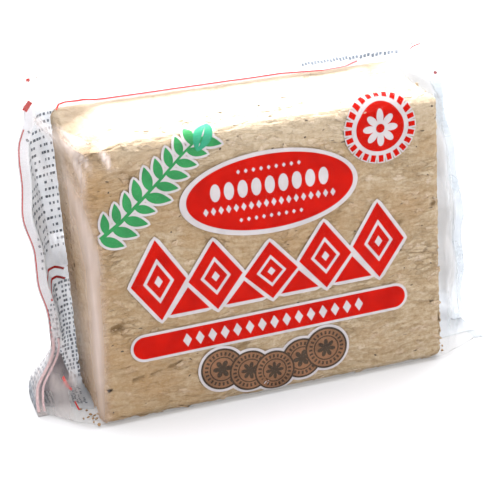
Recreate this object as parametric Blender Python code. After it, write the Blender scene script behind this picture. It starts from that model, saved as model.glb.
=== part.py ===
"""Sealed clear flow-wrap pack of halva, standing on the long narrow side of its block.

Metres, +Z up. The origin is the centre of the base, on the surface that the pack stands on.
The printed front panel faces -Y, and the two crimped end seals stand out at -X and +X.

The pack is one closed solid, its outer form. The film is a tube that lies on the block, with its
slack in a pleat along the top rear edge. Past each end of the block the tube closes to an
upright seal at mid-depth. The seal is taller than the block, so its top stands up as an ear and
its bottom is kicked out along the surface as a foot.
"""

import math

import bmesh
import bpy

# The block inside the film
BLOCK_LENGTH = 0.122
BLOCK_DEPTH = 0.038
BLOCK_HEIGHT = 0.095

# The film on the block
FILM_STAND_OFF = 0.0004
BOTTOM_RADIUS = 0.0034
TOP_RADIUS = 0.0042
PLEAT_RISE = 0.0075
PLEAT_SETBACK = 0.0022
PLEAT_DROP = 0.0022
PLEAT_SHARPNESS = 3.6
REAR_SEAM_WIDTH = 0.010
REAR_SEAM_HEIGHT = 0.050
REAR_SEAM_RISE = 0.0005

# The ears, where the top of the tube rises towards each end seal
EAR_START = 0.042
EAR_PEAK_DEPTH = 0.007
EAR_DROP = 0.0085
EAR_SHARPNESS = 1.15

# The end seals
SEAL_THICKNESS = 0.0010
SEAL_WIDTH = 0.0036
SEAL_CLEARANCE = 0.0009
EDGE_WAVE = 0.0005
EDGE_WAVE_LENGTH = 0.021
FRONT_SWELL = 1.15
REAR_SWELL = 1.9
FLOOR_SWELL = 1.0

# Each end: its side of the block, the heights of the ear and of the seal's top corner, the reach
# of the kicked-out foot to the front and to the rear with its height, and the seal's outer edge
# as pairs of height and distance from the middle of the block
ENDS = (
    {
        "side": -1,
        "ear_rise": 0.0115,
        "foot_front": 0.002,
        "foot_rear": 0.0150,
        "foot_height": 0.025,
        "edge": (
            (0.000, 0.0792), (0.009, 0.0788), (0.025, 0.0712), (0.045, 0.0734),
            (0.075, 0.0758), (0.092, 0.0743), (0.1045, 0.0712), (0.1145, 0.0690),
        ),
    },
    {
        "side": 1,
        "ear_rise": 0.0095,
        "foot_front": 0.0085,
        "foot_rear": 0.0085,
        "foot_height": 0.022,
        "edge": (
            (0.000, 0.0810), (0.014, 0.0782), (0.028, 0.0776), (0.048, 0.0780),
            (0.070, 0.0745), (0.090, 0.0702), (0.1090, 0.0660),
        ),
    },
)

# How finely the film is divided
BOTTOM_STEPS = 8
CORNER_STEPS = 3
PANEL_STEPS = 20
PLEAT_FRONT_STEPS = 10
PLEAT_REAR_STEPS = 3
REAR_STEPS = 9
BODY_STEPS = 24
GUSSET_STEPS = 6
SEAL_STEPS = 2

HALF_LENGTH = BLOCK_LENGTH / 2 + FILM_STAND_OFF
HALF_DEPTH = BLOCK_DEPTH / 2 + FILM_STAND_OFF
TOP = BLOCK_HEIGHT + FILM_STAND_OFF


def mix(a, b, share):
    """The value that lies the given share of the way from a to b."""
    return a + (b - a) * share


def ease(share):
    """A share from 0 to 1 that starts and stops gently."""
    share = min(max(share, 0.0), 1.0)
    return share * share * (3.0 - 2.0 * share)


def line(start, end, steps):
    """Points along a straight run, without its first point."""
    return [
        (mix(start[0], end[0], i / steps), mix(start[1], end[1], i / steps))
        for i in range(1, steps + 1)
    ]


def arc(centre, radius, start, end, steps=CORNER_STEPS):
    """Points round a corner, in degrees, without its first point."""
    points = []
    for i in range(1, steps + 1):
        angle = math.radians(mix(start, end, i / steps))
        points.append((centre[0] + radius * math.cos(angle), centre[1] + radius * math.sin(angle)))
    return points


def top_run(peak, rear, sharpness):
    """The film over the top: it leaves the block towards a peak, then falls to the rear panel."""
    start = (-HALF_DEPTH + TOP_RADIUS, TOP)
    points = []
    for i in range(1, PLEAT_FRONT_STEPS + 1):
        share = i / PLEAT_FRONT_STEPS
        points.append((mix(start[0], peak[0], share), mix(TOP, peak[1], share**sharpness)))
    return points + line(peak, rear, PLEAT_REAR_STEPS)


def section(ear, ear_rise):
    """The film round the block as points of depth and height, from the rear of the base.

    ear is 0 in the middle of the pack and 1 at the end of the block, where the pleat has turned
    into the slope of the ear.
    """
    peak = (
        mix(HALF_DEPTH - PLEAT_SETBACK, EAR_PEAK_DEPTH, ear),
        TOP + mix(PLEAT_RISE, ear_rise, ear),
    )
    rear = (HALF_DEPTH, peak[1] - mix(PLEAT_DROP, EAR_DROP, ear))
    sharpness = mix(PLEAT_SHARPNESS, EAR_SHARPNESS, ear)
    base = HALF_DEPTH - BOTTOM_RADIUS
    seam_top = REAR_SEAM_HEIGHT + REAR_SEAM_WIDTH / 2
    seam_bottom = REAR_SEAM_HEIGHT - REAR_SEAM_WIDTH / 2
    seam_face = HALF_DEPTH + REAR_SEAM_RISE

    points = [(base, 0.0)]
    points += line((base, 0.0), (-base, 0.0), BOTTOM_STEPS)
    points += arc((-base, BOTTOM_RADIUS), BOTTOM_RADIUS, 270, 180)
    points += line((-HALF_DEPTH, BOTTOM_RADIUS), (-HALF_DEPTH, TOP - TOP_RADIUS), PANEL_STEPS)
    points += arc((-HALF_DEPTH + TOP_RADIUS, TOP - TOP_RADIUS), TOP_RADIUS, 180, 90)
    points += top_run(peak, rear, sharpness)
    points += line(rear, (HALF_DEPTH, seam_top + REAR_SEAM_RISE), REAR_STEPS)
    points += [(seam_face, seam_top), (seam_face, seam_bottom)]
    points += [(HALF_DEPTH, seam_bottom - REAR_SEAM_RISE)]
    points += line(points[-1], (HALF_DEPTH, BOTTOM_RADIUS), REAR_STEPS)
    points += arc((base, BOTTOM_RADIUS), BOTTOM_RADIUS, 0, -90)[:-1]
    return points


FRONT_START = BOTTOM_STEPS
PEAK = BOTTOM_STEPS + 2 * CORNER_STEPS + PANEL_STEPS + PLEAT_FRONT_STEPS


def edge_distance(end, height):
    """How far the seal's outer edge is from the middle of the block at a height."""
    pairs = end["edge"]
    for (low, near), (high, far) in zip(pairs, pairs[1:]):
        if height <= high:
            distance = mix(near, far, ease((height - low) / (high - low)))
            break
    else:
        distance = pairs[-1][1]
    wave = math.sin(2 * math.pi * height / EDGE_WAVE_LENGTH)
    return distance + EDGE_WAVE * wave


def seal_heights(points, end):
    """Each point's height on the flat seal: the film keeps its length as the tube closes."""
    top = end["edge"][-1][0]
    heights = [0.0] * len(points)
    ring = points + points[:1]
    steps = [math.dist(a, b) for a, b in zip(ring, ring[1:])]
    front = sum(steps[FRONT_START:PEAK])
    rear = sum(steps[PEAK:])
    for i in range(FRONT_START, PEAK + 1):
        heights[i] = top * sum(steps[FRONT_START:i]) / front
    for i in range(PEAK + 1, len(points)):
        heights[i] = top * sum(steps[i:]) / rear
    return heights


def seal_depth(end, index, height):
    """Where a point of the film lies in depth on the closed seal, with the foot near the floor."""
    spread = max(0.0, 1.0 - height / end["foot_height"]) ** 1.4
    front = -(SEAL_THICKNESS / 2 + end["foot_front"] * spread)
    rear = SEAL_THICKNESS / 2 + end["foot_rear"] * spread
    if index < FRONT_START:
        return mix(rear, front, index / FRONT_START)
    if index == PEAK:
        return 0.0
    return front if index < PEAK else rear


def swell(index, share):
    """How much of its depth the film still has at a share of the way to the seal."""
    if index <= FRONT_START:
        power = FLOOR_SWELL
    else:
        power = FRONT_SWELL if index < PEAK else REAR_SWELL
    return (1.0 - share**power) ** (1.0 / power)


def end_rings(end):
    """The rings of film from the end of the block out to the seal's outer edge."""
    points = section(1.0, end["ear_rise"])
    heights = seal_heights(points, end)
    rings = []
    for step in range(1, GUSSET_STEPS + 1):
        share = step / GUSSET_STEPS
        ring = []
        for i, (depth, height) in enumerate(points):
            seal = max(edge_distance(end, heights[i]) - SEAL_WIDTH, HALF_LENGTH + SEAL_CLEARANCE)
            closed = seal_depth(end, i, heights[i])
            ring.append((
                end["side"] * mix(HALF_LENGTH, seal, share),
                mix(closed, depth, swell(i, share)),
                mix(height, heights[i], share),
            ))
        rings.append(ring)
    for step in range(1, SEAL_STEPS + 1):
        ring = []
        for (x, depth, height) in rings[GUSSET_STEPS - 1]:
            reach = edge_distance(end, height)
            ring.append((end["side"] * mix(abs(x), reach, step / SEAL_STEPS), depth, height))
        rings.append(ring)
    return rings


def body_rings():
    """The rings of film along the block, from the left end to the right one."""
    left, right = ENDS
    rings = []
    for step in range(BODY_STEPS + 1):
        x = HALF_LENGTH * math.sin(math.radians(mix(-90, 90, step / BODY_STEPS)))
        end = left if x < 0 else right
        ear = ease((abs(x) - EAR_START) / (HALF_LENGTH - EAR_START))
        rings.append([(x, depth, height) for depth, height in section(ear, end["ear_rise"])])
    return rings


def close_end(bm, ring, side):
    """Fills the outer edge of a seal."""
    edges = [bm.edges.get((a, b)) for a, b in zip(ring, ring[1:] + ring[:1])]
    bmesh.ops.triangle_fill(bm, edges=edges, use_beauty=True, normal=(side, 0, 0))


def film_mesh(name):
    """One closed skin through all the rings."""
    left, right = ENDS
    rings = end_rings(left)[::-1] + body_rings() + end_rings(right)
    bm = bmesh.new()
    verts = [[bm.verts.new(point) for point in ring] for ring in rings]
    for ring, following in zip(verts, verts[1:]):
        for i, vert in enumerate(ring):
            j = (i + 1) % len(ring)
            bm.faces.new((vert, following[i], following[j], ring[j]))
    close_end(bm, verts[0], left["side"])
    close_end(bm, verts[-1], right["side"])
    bmesh.ops.recalc_face_normals(bm, faces=bm.faces)
    bmesh.ops.triangulate(bm, faces=bm.faces)
    mesh = bpy.data.meshes.new(name)
    bm.to_mesh(mesh)
    bm.free()
    return mesh


def film_material():
    """Glossy clear film with the warm beige of the block showing through."""
    material = bpy.data.materials.new("film_over_halva")
    material.use_nodes = True
    shader = material.node_tree.nodes["Principled BSDF"]
    shader.inputs["Base Color"].default_value = (0.47, 0.34, 0.20, 1.0)
    shader.inputs["Roughness"].default_value = 0.22
    shader.inputs["Metallic"].default_value = 0.0
    return material


def clear_scene():
    """Removes what the scene starts with."""
    for item in list(bpy.data.objects):
        bpy.data.objects.remove(item, do_unlink=True)


def main():
    """Builds the sealed pack."""
    clear_scene()
    mesh = film_mesh("halva_pack")
    mesh.materials.append(film_material())
    pack = bpy.data.objects.new("halva_pack", mesh)
    bpy.context.scene.collection.objects.link(pack)


main()
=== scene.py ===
# %% [markdown]
# # A brick of halva in a clear flow-wrap
#
# The pack is a tube of thin clear film round a pressed brick of sunflower halva. Each end of the
# tube is flattened and crimped into an upright seal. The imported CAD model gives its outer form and
# its size. This script replaces that form with what the eye sees: the flaky block, the film with
# its creases, the inks printed on the film and the crumbs inside.

# %% Load the frame
import math

import bmesh
import bpy
import numpy as np
from mathutils import Matrix, Vector, geometry
from mathutils import noise as math_noise


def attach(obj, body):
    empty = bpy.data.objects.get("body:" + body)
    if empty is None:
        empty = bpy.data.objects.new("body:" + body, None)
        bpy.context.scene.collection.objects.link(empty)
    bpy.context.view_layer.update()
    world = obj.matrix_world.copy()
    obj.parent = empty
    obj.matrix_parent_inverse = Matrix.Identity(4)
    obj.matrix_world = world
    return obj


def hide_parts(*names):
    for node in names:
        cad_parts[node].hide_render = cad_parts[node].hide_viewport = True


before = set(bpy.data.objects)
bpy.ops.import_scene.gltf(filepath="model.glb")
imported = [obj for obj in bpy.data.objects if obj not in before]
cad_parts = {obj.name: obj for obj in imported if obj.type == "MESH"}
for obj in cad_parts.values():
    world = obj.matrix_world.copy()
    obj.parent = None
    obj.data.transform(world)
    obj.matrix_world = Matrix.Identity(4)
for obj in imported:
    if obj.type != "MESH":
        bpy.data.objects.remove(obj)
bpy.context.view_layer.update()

MM = 0.001

# %% [markdown]
# ## The camera
#
# The photo was taken from a little above and to the left of the front panel, with a long lens and
# the camera turned slightly. A short lens would bend the brick's edges apart, so the distance and
# the lens are both kept. The camera sits at a named place and is aimed by three angles.

# %% Camera
CAMERA_PLACE = (-0.12872, -0.43263, 0.22164)
CAMERA_TURN = -16.47
CAMERA_TILT = 90 - 21.42
CAMERA_ROLL = -3.84
CAMERA_LENS = 102.84
CAMERA_SENSOR = 36.0
CAMERA_NEAR = 0.01


def put(name, data):
    """An object of a camera, a lamp or a mesh, linked into the scene."""
    made = bpy.data.objects.new(name, data)
    bpy.context.scene.collection.objects.link(made)
    return made


def make_camera():
    """The camera at the photograph's viewing angle."""
    data = bpy.data.cameras.new("camera")
    data.lens = CAMERA_LENS
    data.sensor_width = CAMERA_SENSOR
    data.sensor_fit = "HORIZONTAL"
    data.clip_start = CAMERA_NEAR
    camera = put("camera", data)
    turn = Matrix.Rotation(math.radians(CAMERA_TURN), 4, "Z")
    tilt = Matrix.Rotation(math.radians(CAMERA_TILT), 4, "X")
    roll = Matrix.Rotation(math.radians(CAMERA_ROLL), 4, "Z")
    camera.matrix_world = Matrix.Translation(CAMERA_PLACE) @ turn @ tilt @ roll
    bpy.context.scene.camera = camera


make_camera()
print("camera", CAMERA_PLACE, "lens", CAMERA_LENS)

# %% [markdown]
# ## Small helpers for node trees
#
# Every finish and every scattered piece below is a node tree. A few short helpers keep them
# readable: one adds a node with its settings and inputs, and the others each add one common node
# and give back its result. They work in shader trees and in geometry trees alike.

# %% Node helpers
FLOAT = "NodeSocketFloat"
COLOUR = "NodeSocketColor"
VECTOR = "NodeSocketVector"
GEOMETRY = "NodeSocketGeometry"
MATERIAL = "NodeSocketMaterial"
INTEGER = "NodeSocketInt"


def feed(tree, node, inputs):
    """Fills a node's sockets. inputs maps a socket's name or number to a value or to a socket."""
    for name, value in inputs.items():
        if isinstance(value, bpy.types.NodeSocket):
            tree.links.new(value, node.inputs[name])
        else:
            node.inputs[name].default_value = value
    return node


def add(tree, kind, inputs=None, **settings):
    """Adds a node with its settings and inputs."""
    made = tree.nodes.new(kind)
    for name, value in settings.items():
        setattr(made, name, value)
    return feed(tree, made, inputs or {})


def calc(tree, operation, *values):
    """A Math node's result."""
    made = add(tree, "ShaderNodeMath", dict(enumerate(values)), operation=operation)
    return made.outputs[0]


def plus(tree, a, b):
    """The sum of two values."""
    return calc(tree, "ADD", a, b)


def minus(tree, a, b):
    """The difference of two values."""
    return calc(tree, "SUBTRACT", a, b)


def times(tree, a, b):
    """The product of two values."""
    return calc(tree, "MULTIPLY", a, b)


def vector_calc(tree, operation, *values):
    """A Vector Math node's vector result."""
    made = add(tree, "ShaderNodeVectorMath", dict(enumerate(values)), operation=operation)
    return made.outputs["Vector"]


def stretched(tree, vector, factor):
    """A vector times a value."""
    made = add(tree, "ShaderNodeVectorMath", {0: vector, "Scale": factor}, operation="SCALE")
    return made.outputs["Vector"]


def vector_of(tree, **axes):
    """A vector from its axes. An axis that isn't given is zero."""
    return add(tree, "ShaderNodeCombineXYZ", axes).outputs[0]


def axes_of(tree, vector):
    """The three axes of a vector."""
    return add(tree, "ShaderNodeSeparateXYZ", {0: vector}).outputs


def remap(tree, value, low, high, to_low=0.0, to_high=1.0):
    """A value moved from one range to another, held inside it."""
    ranges = {"From Min": low, "From Max": high, "To Min": to_low, "To Max": to_high}
    return add(tree, "ShaderNodeMapRange", dict(ranges, Value=value)).outputs["Result"]


def noise(tree, vector, scale, detail=2.0, roughness=0.5, output=0):
    """A Noise texture's value from 0 to 1, or its colour with output 1."""
    inputs = {"Vector": vector, "Scale": scale, "Detail": detail, "Roughness": roughness}
    return add(tree, "ShaderNodeTexNoise", inputs).outputs[output]


def mixed(tree, share, low, high):
    """A colour on the way from one to another."""
    return add(tree, "ShaderNodeMix", {0: share, 6: low, 7: high}, data_type="RGBA").outputs[2]


def mixed_shader(tree, share, first, second):
    """A shader on the way from one to another."""
    return add(tree, "ShaderNodeMixShader", {0: share, 1: first, 2: second}).outputs[0]


def tree_with(name, kind, inputs, outputs):
    """A node group with named sockets, the sockets it is given, and its output node."""
    tree = bpy.data.node_groups.new(name, kind)
    for label, socket, value in inputs:
        made = tree.interface.new_socket(label, in_out="INPUT", socket_type=socket)
        if value is not None:
            made.default_value = value
    for label, socket in outputs:
        tree.interface.new_socket(label, in_out="OUTPUT", socket_type=socket)
    given = tree.nodes.new("NodeGroupInput")
    return tree, given.outputs, tree.nodes.new("NodeGroupOutput")


def new_material(name):
    """A material with its node tree and its main shader."""
    material = bpy.data.materials.new(name)
    material.use_nodes = True
    return material, material.node_tree, material.node_tree.nodes["Principled BSDF"]


print("node helpers ready")

# %% [markdown]
# ## The light
#
# The photo is a bright one on white: the top of the brick is almost burnt out, the front is in
# soft light, and the floor is pure white with a thin shadow under the pack. One large soft light
# stands overhead and a little behind, a weaker one fills the front, and the white floor sends
# light back up into the film.

# %% Light, floor and background
WORLD_GREY = 0.27
BACKDROP_STRENGTH = 1.1
WHITE = (1.0, 1.0, 1.0, 1.0)
LIGHT_TARGET = (0, 0, 0.05)
# name, place, target, size and power
LIGHTS = (
    ("top_light", (0.05, 0.24, 0.68), LIGHT_TARGET, 1.0, 28.0),
    ("front_light", (0.35, -0.95, 0.55), LIGHT_TARGET, 0.7, 6.5),
    ("side_light", (-0.70, -0.25, 0.25), (-0.06, 0, 0.05), 0.35, 0.12),
)
FLOOR_SIZE = 3.0
FLOOR_DROP = 0.05 * MM
FLOOR_COLOUR = (0.44, 0.44, 0.455, 1.0)
FLOOR_ROUGHNESS = 0.9
FLOOR_GLOW = 0.24


def make_world():
    """Even pale light from all round, and plain white where the camera sees past the floor."""
    world = bpy.data.worlds.new("studio")
    world.use_nodes = True
    tree = world.node_tree
    tree.nodes.clear()
    lit = add(tree, "ShaderNodeBackground", {"Color": (WORLD_GREY, WORLD_GREY, WORLD_GREY, 1.0)})
    seen = add(tree, "ShaderNodeBackground", {"Color": WHITE, "Strength": BACKDROP_STRENGTH})
    camera_ray = add(tree, "ShaderNodeLightPath").outputs["Is Camera Ray"]
    blend = mixed_shader(tree, camera_ray, lit.outputs[0], seen.outputs[0])
    add(tree, "ShaderNodeOutputWorld", {"Surface": blend})
    bpy.context.scene.world = world


def make_light(name, place, target, size, power):
    """A soft square lamp at a place, turned to a target."""
    data = bpy.data.lights.new(name, "AREA")
    data.energy = power
    data.size = size
    lamp = put(name, data)
    direction = Vector(target) - Vector(place)
    lamp.rotation_euler = direction.to_track_quat("-Z", "Y").to_euler()
    lamp.location = place


def make_floor():
    """A wide white floor under the pack."""
    bm = bmesh.new()
    bmesh.ops.create_grid(bm, x_segments=1, y_segments=1, size=FLOOR_SIZE)
    mesh = bpy.data.meshes.new("floor")
    bm.to_mesh(mesh)
    bm.free()
    mesh.transform(Matrix.Translation((0, 0, -FLOOR_DROP)))
    floor = put("floor", mesh)
    material, tree, shader = new_material("floor")
    feed(tree, shader, {
        "Base Color": FLOOR_COLOUR, "Roughness": FLOOR_ROUGHNESS,
        "Emission Color": WHITE, "Emission Strength": FLOOR_GLOW,
    })
    mesh.materials.append(material)


make_world()
make_floor()
for light in LIGHTS:
    make_light(*light)
bpy.context.scene.view_settings.view_transform = "Standard"

# %% [markdown]
# ## Shared effect: the grain of halva
#
# Halva is pulled sugar and ground seeds, pressed into a block. Up close its face is a patchwork of
# flat flaky plates that lean with the flow of the mass, with thin cracks round some of them,
# crumbly grit all over, and short dark dashes where a gap or a bit of husk shows. The same
# pattern shapes the mesh and colours it, so it is written once as a function for both kinds of
# tree, and the shader side of it is one group for the block, the flakes and the crumbs.

# %% Plate pattern and grain group
FLOW_SCALE = 17.0
FLOW_REACH = 0.028
FLUTTER_SCALE = 120.0
FLUTTER_REACH = 0.0024
FRAY_SCALE = 2.2
FRAY_REACH = (0.9, 0.9, 0.9)
HALVES = (0.5, 0.5, 0.5)
CRACK_WIDTH = 0.10
CRACK_PATCH_SCALE = 75.0
CRACK_PATCHES = (0.50, 0.70)
LAYER_SCALE = 2.6
GRIT_SCALE = 700.0
STRAND_SCALE = 520.0
STRAND_STRETCH = (0.4, 0.4, 1.9)
PALE_MOOD = (0.40, 0.86)
DARK_MOOD = (0.38, 0.14)
DASH_SCALE = 760.0
DASH_STRETCH = (0.45, 0.45, 1.6)
DASH_SHARE = (0.70, 0.76)
DASH_PATCH_SCALE = 90.0
DASH_PATCHES = (0.50, 0.60)
BLOCK_MIDDLE = 0.0475


def plate_pattern(tree, position, length, thickness):
    """Height of the plates, their cracks and a tone for each plate, from 0 to 1."""
    bend = minus(tree, noise(tree, position, FLOW_SCALE, 1.0), 0.5)
    flutter = minus(tree, noise(tree, position, FLUTTER_SCALE, 1.0), 0.5)
    lift = plus(tree, times(tree, bend, FLOW_REACH), times(tree, flutter, FLUTTER_REACH))
    moved = vector_calc(tree, "ADD", position, vector_of(tree, Z=lift))
    along = calc(tree, "DIVIDE", 1.0, length)
    across = calc(tree, "DIVIDE", 1.0, thickness)
    place = vector_calc(tree, "MULTIPLY", moved, vector_of(tree, X=along, Y=along, Z=across))
    push = vector_calc(tree, "SUBTRACT", noise(tree, place, FRAY_SCALE, 3.0, output=1), HALVES)
    ragged = vector_calc(tree, "ADD", place, vector_calc(tree, "MULTIPLY", push, FRAY_REACH))
    cells = add(tree, "ShaderNodeTexVoronoi", {"Vector": ragged, "Scale": 1.0})
    edges = add(
        tree, "ShaderNodeTexVoronoi", {"Vector": ragged, "Scale": 1.0}, feature="DISTANCE_TO_EDGE",
    )
    tone = axes_of(tree, cells.outputs["Color"])
    rim = remap(tree, edges.outputs["Distance"], CRACK_WIDTH, 0.0)
    chosen = remap(tree, noise(tree, moved, CRACK_PATCH_SCALE, 2.0), *CRACK_PATCHES)
    layered = noise(tree, place, LAYER_SCALE, 4.0, 0.65)
    height = plus(tree, times(tree, tone[0], 0.5), times(tree, layered, 0.5))
    return height, times(tree, rim, chosen), tone[1], layered


def make_grain():
    """Colour and height of the plates and their grit, from a position on the surface."""
    tree, given, out = tree_with(
        "halva grain", "ShaderNodeTree",
        [("Position", VECTOR, None), ("Plate Length", FLOAT, 0.0044),
         ("Plate Thickness", FLOAT, 0.0013), ("Dark", COLOUR, (0.2, 0.12, 0.06, 1.0)),
         ("Middle", COLOUR, (0.45, 0.3, 0.18, 1.0)), ("Pale", COLOUR, (0.65, 0.5, 0.35, 1.0))],
        [("Colour", COLOUR), ("Height", FLOAT), ("Specks", FLOAT)],
    )
    position = given["Position"]
    height, crack, tone, layered = plate_pattern(
        tree, position, given["Plate Length"], given["Plate Thickness"],
    )
    grit = noise(tree, position, GRIT_SCALE, 4.0, 0.7)
    strand_place = vector_calc(tree, "MULTIPLY", position, STRAND_STRETCH)
    strands = noise(tree, strand_place, STRAND_SCALE, 3.0, 0.6)
    mood = plus(tree, times(tree, tone, 0.26), times(tree, layered, 0.55))
    mood = plus(tree, mood, times(tree, minus(tree, grit, 0.5), 1.10))
    mood = plus(tree, mood, times(tree, minus(tree, strands, 0.32), 0.60))
    base = mixed(tree, remap(tree, mood, *PALE_MOOD), given["Middle"], given["Pale"])
    dark = times(tree, remap(tree, mood, *DARK_MOOD), 0.65)
    # Painted shade: the cracks are darkened; the rest of this darkening is the grain's own tone.
    shade = calc(tree, "MAXIMUM", dark, times(tree, crack, 0.40))
    dash_place = vector_calc(tree, "MULTIPLY", position, DASH_STRETCH)
    dashes = remap(tree, noise(tree, dash_place, DASH_SCALE, 1.0), *DASH_SHARE)
    where = remap(tree, noise(tree, position, DASH_PATCH_SCALE, 2.0), *DASH_PATCHES)
    relief = plus(tree, height, times(tree, grit, 0.45))
    relief = plus(tree, relief, times(tree, strands, 0.50))
    feed(tree, out, {
        "Colour": mixed(tree, shade, base, given["Dark"]),
        "Height": minus(tree, relief, times(tree, crack, 0.3)),
        "Specks": times(tree, dashes, where),
    })
    return tree


GRAIN = make_grain()
print("grain group", len(GRAIN.nodes), "nodes")

# %% [markdown]
# ## The finish of the halva
#
# The block is matte and a little greasy, greyish tan, with a warmer tone in patches, most of all
# towards the left end. Along the top it is painted paler, as painted light where the top light
# falls. The top left corner is crushed, and painted darker there as painted shade of the film's
# folds over it. Gaps between the flakes are darker as painted shade, with husk in some of them.
# The mesh carries that as an attribute named crevice, so colour and relief agree.

# %% Halva materials
HALVA_DARK = (0.225, 0.140, 0.062, 1.0)
HALVA_MIDDLE = (0.425, 0.303, 0.174, 1.0)
HALVA_PALE = (0.605, 0.490, 0.350, 1.0)
HALVA_WARM = (0.400, 0.225, 0.085, 1.0)
HALVA_PAINTED_TOP_LIGHT = (0.760, 0.650, 0.500, 1.0)
FLAKE_TONES = ((0.47, 0.345, 0.225, 1.0), (0.66, 0.54, 0.41, 1.0), (0.30, 0.20, 0.12, 1.0))
HUSK = (0.070, 0.042, 0.024, 1.0)
HUSK_DARK = (0.030, 0.020, 0.013, 1.0)
HUSK_PALE = (0.120, 0.075, 0.040, 1.0)
WARM_LEAN = -2.2
WARM_RANGE = (0.42, 0.70, 0.0, 0.62)
PAINTED_TOP_LIGHT_RANGE = (0.034, 0.049, 0.0, 0.55)
CORNER_SHADE_ALONG = (-0.048, -0.058)
CORNER_SHADE_UP = (0.032, 0.044, 0.0, 0.8)
CORNER_SHADE_PATCHES = (0.38, 0.60, 0.40, 1.0)


def halva_material(name, middle, pale, dark, bump, speck_share, with_crevice_shade_and_husk=False):
    """Matte flaky halva in given tones."""
    material, tree, shader = new_material(name)
    seen = add(tree, "ShaderNodeTexCoord").outputs["Object"]
    place = vector_calc(tree, "SUBTRACT", seen, (0.0, 0.0, BLOCK_MIDDLE))
    tones = {"Position": place, "Middle": middle, "Pale": pale, "Dark": dark}
    grain = add(tree, "ShaderNodeGroup", tones, node_tree=GRAIN).outputs
    axes = axes_of(tree, place)
    patches = plus(
        tree, noise(tree, place, 30.0, 3.0, 0.6), times(tree, axes["X"], WARM_LEAN),
    )
    colour = mixed(tree, remap(tree, patches, *WARM_RANGE), grain["Colour"], HALVA_WARM)
    # Painted light: the top is mixed towards a paler tone, where the top light falls on it.
    colour = mixed(tree, remap(tree, axes["Z"], *PAINTED_TOP_LIGHT_RANGE), colour, HALVA_PAINTED_TOP_LIGHT)
    # Painted shade: the top left corner is darkened in patches, where the film's folds shade it.
    corner_shade = remap(tree, axes["X"], *CORNER_SHADE_ALONG)
    corner_shade = times(tree, corner_shade, remap(tree, axes["Z"], *CORNER_SHADE_UP))
    corner_shade_patch = remap(tree, noise(tree, place, 150.0, 2.0), *CORNER_SHADE_PATCHES)
    colour = mixed(tree, times(tree, corner_shade, corner_shade_patch), colour, HALVA_DARK)
    if with_crevice_shade_and_husk:
        # Painted shade in the gaps and sunken plates, and the dark of husk at the specks, from the
        # crevice attribute.
        crevice_shade_and_husk = add(tree, "ShaderNodeAttribute", attribute_name="crevice").outputs["Fac"]
        colour = mixed(tree, crevice_shade_and_husk, colour, HALVA_DARK)
    specks = times(tree, grain["Specks"], speck_share)
    relief = add(tree, "ShaderNodeBump", {"Height": grain["Height"], "Distance": bump})
    feed(tree, shader, {
        "Base Color": mixed(tree, specks, colour, HUSK), "Normal": relief.outputs[0],
        "Roughness": remap(tree, grain["Height"], 0.3, 0.9, 0.80, 0.58), "Specular IOR Level": 0.3,
    })
    return material


HALVA = halva_material("halva", HALVA_MIDDLE, HALVA_PALE, HALVA_DARK, 0.0007, 0.85, True)
FLAKE = halva_material("halva_flake", *FLAKE_TONES, 0.0006, 0.3)
CRUMB = halva_material("halva_crumb", HALVA_WARM, HALVA_MIDDLE, HALVA_DARK, 0.0008, 0.5)


def husk_material():
    """Dark seed husk: brown-black, slightly uneven, with a faint shine."""
    material, tree, shader = new_material("husk")
    grey = noise(tree, add(tree, "ShaderNodeTexCoord").outputs["Object"], 900.0, 2.0)
    feed(tree, shader, {
        "Base Color": mixed(tree, grey, HUSK_DARK, HUSK_PALE),
        "Roughness": remap(tree, grey, 0.3, 0.7, 0.42, 0.62),
    })
    return material


HUSK_BIT = husk_material()
print("halva materials", [m.name for m in (HALVA, FLAKE, CRUMB, HUSK_BIT)])

# %% [markdown]
# ## The block of halva
#
# The block follows a rule: a brick with softened edges, whose skin is broken into strands, plates
# and cracks that lie flat, and crumbled more along its edges. A sculpted mesh could look as good,
# but a rule in Geometry Nodes keeps its sizes as named inputs. The tree starts from a finely
# divided cube, rounds it, pushes each point inwards by its relief and keeps the depth of the gaps
# as an attribute, which the material turns into painted shade.

# %% Block tree
BLOCK_LENGTH = 122.0 * MM
BLOCK_DEPTH = 38.0 * MM
BLOCK_HEIGHT = 95.0 * MM
BLOCK_CELL = 0.66 * MM
BLOCK_LIFT = 0.2 * MM


def run_tree(name, host, tree, values):
    """Runs a geometry tree on a mesh and keeps its result as a plain mesh object."""
    made = put(name, host)
    modifier = made.modifiers.new("tree", "NODES")
    modifier.node_group = tree
    for item in tree.interface.items_tree:
        if item.item_type == "SOCKET" and item.in_out == "INPUT" and item.name in values:
            modifier[item.identifier] = values[item.name]
    ready = made.evaluated_get(bpy.context.evaluated_depsgraph_get())
    mesh = bpy.data.meshes.new_from_object(ready)
    made.modifiers.remove(modifier)
    made.data = mesh
    mesh.name = name
    return made


def dress(tree, geometry, material, out):
    """Gives geometry its material and hands it out of the tree."""
    dressed = add(tree, "GeometryNodeSetMaterial", {"Geometry": geometry, "Material": material})
    feed(tree, out, {"Geometry": dressed.outputs[0]})


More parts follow.
